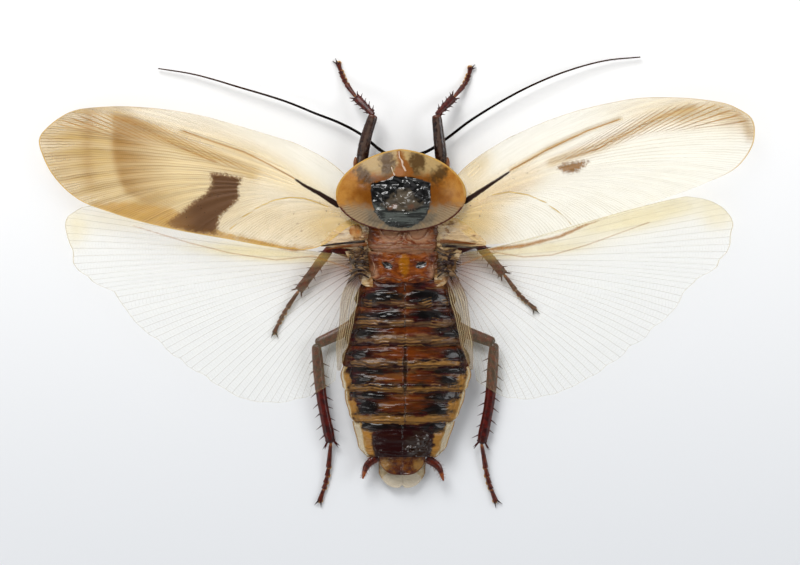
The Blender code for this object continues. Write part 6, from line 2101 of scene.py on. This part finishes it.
legFinish = {
    "base": (98, 40, 28), "baseDark": (60, 25, 18), "rough": 0.34, "coat": 0.1, "relief": 0.03,
    "mottleSize": 0.9, "grainSize": 0.12,
    "layers": (
        ("ends", (50, 22, 16), 0.25, 0.2, 0.5, 0.3), ("keel", (122, 58, 36), 0.12, 0.15, 0.5, 0.3),
        ("thornTone", (74, 28, 18), 0.2, 0.1, 0.9, 0.25), ("hairTone", (150, 96, 58), 0.2, 0.1, 0.8, 0.4),
    ),
}
footFinish = {
    "base": (104, 48, 28), "baseDark": (66, 28, 18), "rough": 0.34, "relief": 0.02,
    "mottleSize": 0.6, "grainSize": 0.1,
    "layers": (
        ("joint", (176, 112, 64), 0.04, 0.03, 0.6, 0.45), ("pad", (208, 158, 92), 0.15, 0.1, 0.9, 0.5),
        ("claw", (52, 24, 16), 0.2, 0.1, 0.9, 0.22), ("hairTone", (176, 122, 72), 0.2, 0.1, 0.8, 0.4),
    ),
}
thighFinish = dict(
    legFinish, base=(72, 50, 42), baseDark=(44, 26, 22), rough=0.26, coat=0.4,
    layers=(
        ("sheen", (112, 94, 84), 0.25, 0.5, 0.7, 0.24), ("ends", (104, 54, 32), 0.4, 0.2, 0.8, 0.3),
        ("keel", (58, 26, 20), 0.12, 0.15, 0.7, 0.26),
        ("thornTone", (74, 28, 18), 0.2, 0.1, 0.9, 0.25), ("hairTone", (130, 90, 60), 0.2, 0.1, 0.8, 0.4),
    ))


def legPath(name, piece, count):  # each piece starts in the end of the one before it
    points = np.array(legs[name][piece])
    before = legPieces[legPieces.index(piece) - 1]
    if piece != "coxa":
        points[0] = blend(np.array(legs[name][before][-1]), points[0], -0.1)
    return through(onSide(name.split("_")[1], points), count)


def legForm(piece):  # keels along the sides and a groove underneath
    def form(share, angle):
        keel = bell(np.abs(np.cos(angle)), 1.0, 0.16) + 0.0 * share
        groove = bell(np.sin(angle), -1.0, 0.12) * ramp(share, 0.35, 0.6)
        ripple = 0.02 * np.sin(share * 40.0 + 3.0 * np.cos(angle))
        ridges = 0.05 * np.cos(6.0 * angle) if piece == "tibia" else 0.0
        return 1.0 + 0.05 * keel - 0.12 * groove + ripple * 0.5 + ridges
    return form


def makeLegTube(name, piece, material, random):
    kind, side = name.split("_")
    path = legPath(name, piece, 70)
    share = np.linspace(0.0, 1.0, len(path))
    taper = legTapers["foreTibia" if kind == "fore" and piece == "tibia" else piece]
    wide = legSizes[kind][piece] * np.interp(share, np.linspace(0.0, 1.0, len(taper)), taper)
    rounded = np.sqrt(np.clip(np.minimum(share, 1.0 - share) / 0.03, 0.0, 1.0))
    wide = wide * blend(0.4, 1.0, rounded)
    high = legFlatness[piece] * wide
    body = tube(path, wide, high, 26, legForm(piece), lowest=clearOfFloor)
    length = np.linalg.norm(path[-1] - path[0])
    along = body["marks"]["length"]
    keel = np.abs(np.cos(body["flat"][:, 0] * 2.0 * math.pi))
    marked(
        body,
        ends=0.05 * length - np.minimum(along, 1.0 - along) * length,
        sheen=(0.35 - keel) * 0.9 - 0.35 * np.abs(along - 0.55),
        keel=(keel - 0.93) * 4.0,
        thornTone=farOutside,
    )
    shapes = [body]
    if piece == "coxa" and kind == "fore":  # a knob that the thigh turns on
        shapes.append(marked(lump(path[-1] + (sides[side], 0.8, 0.0), (0.5, 1.4, 0.6)), hairTone=1.0))
    if piece == "tibia":
        shapes += shinThorns(kind, path, legSizes[kind]["tibia"], random)
    hairs = hairsOn(path, wide, high, legHairs[piece], 0.42, int(random.integers(1000)), 1.1)
    shapes.append(marked(hairs, hairTone=1.0))
    addPiece(f"{piece}_horn_{name}", joined(shapes), material, "leg", f"{piece}_{name}")


def shinThorns(kind, path, half, random):
    ahead = unit((path[-1] - path[0]) * (1.0, 1.0, 0.0))
    aside = np.array([-ahead[1], ahead[0], 0.0])
    stations = [(share, spines["lean"]) for share in np.linspace(*spines["span"], spines["counts"][kind])]
    stations += [(spines["crownShare"], spines["crownLeans"][k // 2]) for k in range(spines["crowns"][kind])]
    shapes = []
    for number, (share, lean) in enumerate(stations):
        place = path[int(round((len(path) - 1) * share))]
        outwards = aside if number % 2 else -aside
        long = spines["lengths"][kind] * random.uniform(0.8, 1.15)
        leaning = lean + random.uniform(-0.1, 0.1)
        direction = unit(outwards + ahead * leaning + np.array([0.0, 0.0, random.uniform(0, 0.25)]))
        tip = place + outwards * 0.8 * half + direction * long
        shapes.append(thorn(place + outwards * 0.5 * half, tip, spines["root"], 0.05, 8, 7, thornTone=1.0))
        socket = lump(place + outwards * 0.82 * half, (0.25, 0.25, 0.2), rows=8, around=12)
        shapes.append(marked(socket, ends=1.0))
    return shapes


def makeFoot(name, material, random):
    kind, side = name.split("_")
    sign = sides[side]
    path = legPath(name, "tarsus", 150)
    local = segmentShare(tarsusJoints, np.linspace(0.0, 1.0, len(path)))
    neck = 1.0 - 0.3 * ramp(local, 0.16, 0.0) - 0.14 * ramp(local, 0.92, 1.0)
    wide = legSizes[kind]["tarsus"] * (0.66 + 0.36 * local ** 1.3) * neck
    high = np.maximum(0.24, legFlatness["tarsus"] * wide)
    body = tube(path, wide, high, 18, lowest=clearOfFloor)
    shapes = [marked(body, joint=alongRings(0.07 - local * 0.6, 18, 0.0, 0.0))]
    for joint in tarsusJoints[1:]:
        row = int(round((len(path) - 1) * (joint - 0.012)))
        place = path[row] - np.array([sign * 0.45 * wide[row], 0.0, 0.3 * high[row]])
        pad = lump(place, (0.85 * wide[row], 0.95 * wide[row], 0.26), rows=10, around=16)
        pad["points"][:, 2] = np.maximum(pad["points"][:, 2], clearOfFloor)
        shapes.append(marked(pad, pad=1.0))
    end = path[-1]
    ahead = unit(end - path[-6])
    for reach in legs[name]["claws"]:
        tip = np.array([end[0] + sign * reach[0], end[1] + reach[1], 0.12])
        beside = 0.13 * np.sign(np.cross(tip - end, ahead)[2])
        root = end - ahead * 0.4 + np.array([ahead[1], -ahead[0], 0.0]) * beside
        root[2] = end[2] + 0.06
        shapes.append(thorn(root, tip, 0.19, 0.3, 10, 12, claw=1.0))
    sole = lump(end + ahead * 0.16 - np.array([0.0, 0.0, 0.1]), (0.26, 0.22, 0.16), rows=12, around=16)
    hairs = hairsOn(path, wide, high, 150, 0.3, int(random.integers(1000)), 0.9, 0.018)
    shapes += [marked(sole, pad=1.0), marked(hairs, hairTone=1.0)]
    addPiece("tarsus_horn_" + name, joined(shapes), material, "leg", "tarsus_" + name)


def makeLegs():
    random = np.random.default_rng(spines["seed"])
    legMaterial = hornMaterial("legHorn", legFinish)
    thighMaterial = hornMaterial("foreThighHorn", thighFinish)
    footMaterial = hornMaterial("footHorn", footFinish)
    for name in legs:
        for piece in legPieces[:-1]:
            glossy = piece == "femur" and name.startswith("fore")
            makeLegTube(name, piece, thighMaterial if glossy else legMaterial, random)
        makeFoot(name, footMaterial, random)


makeLegs()
print("legs made")
print("pieces:", len(pieceNames))
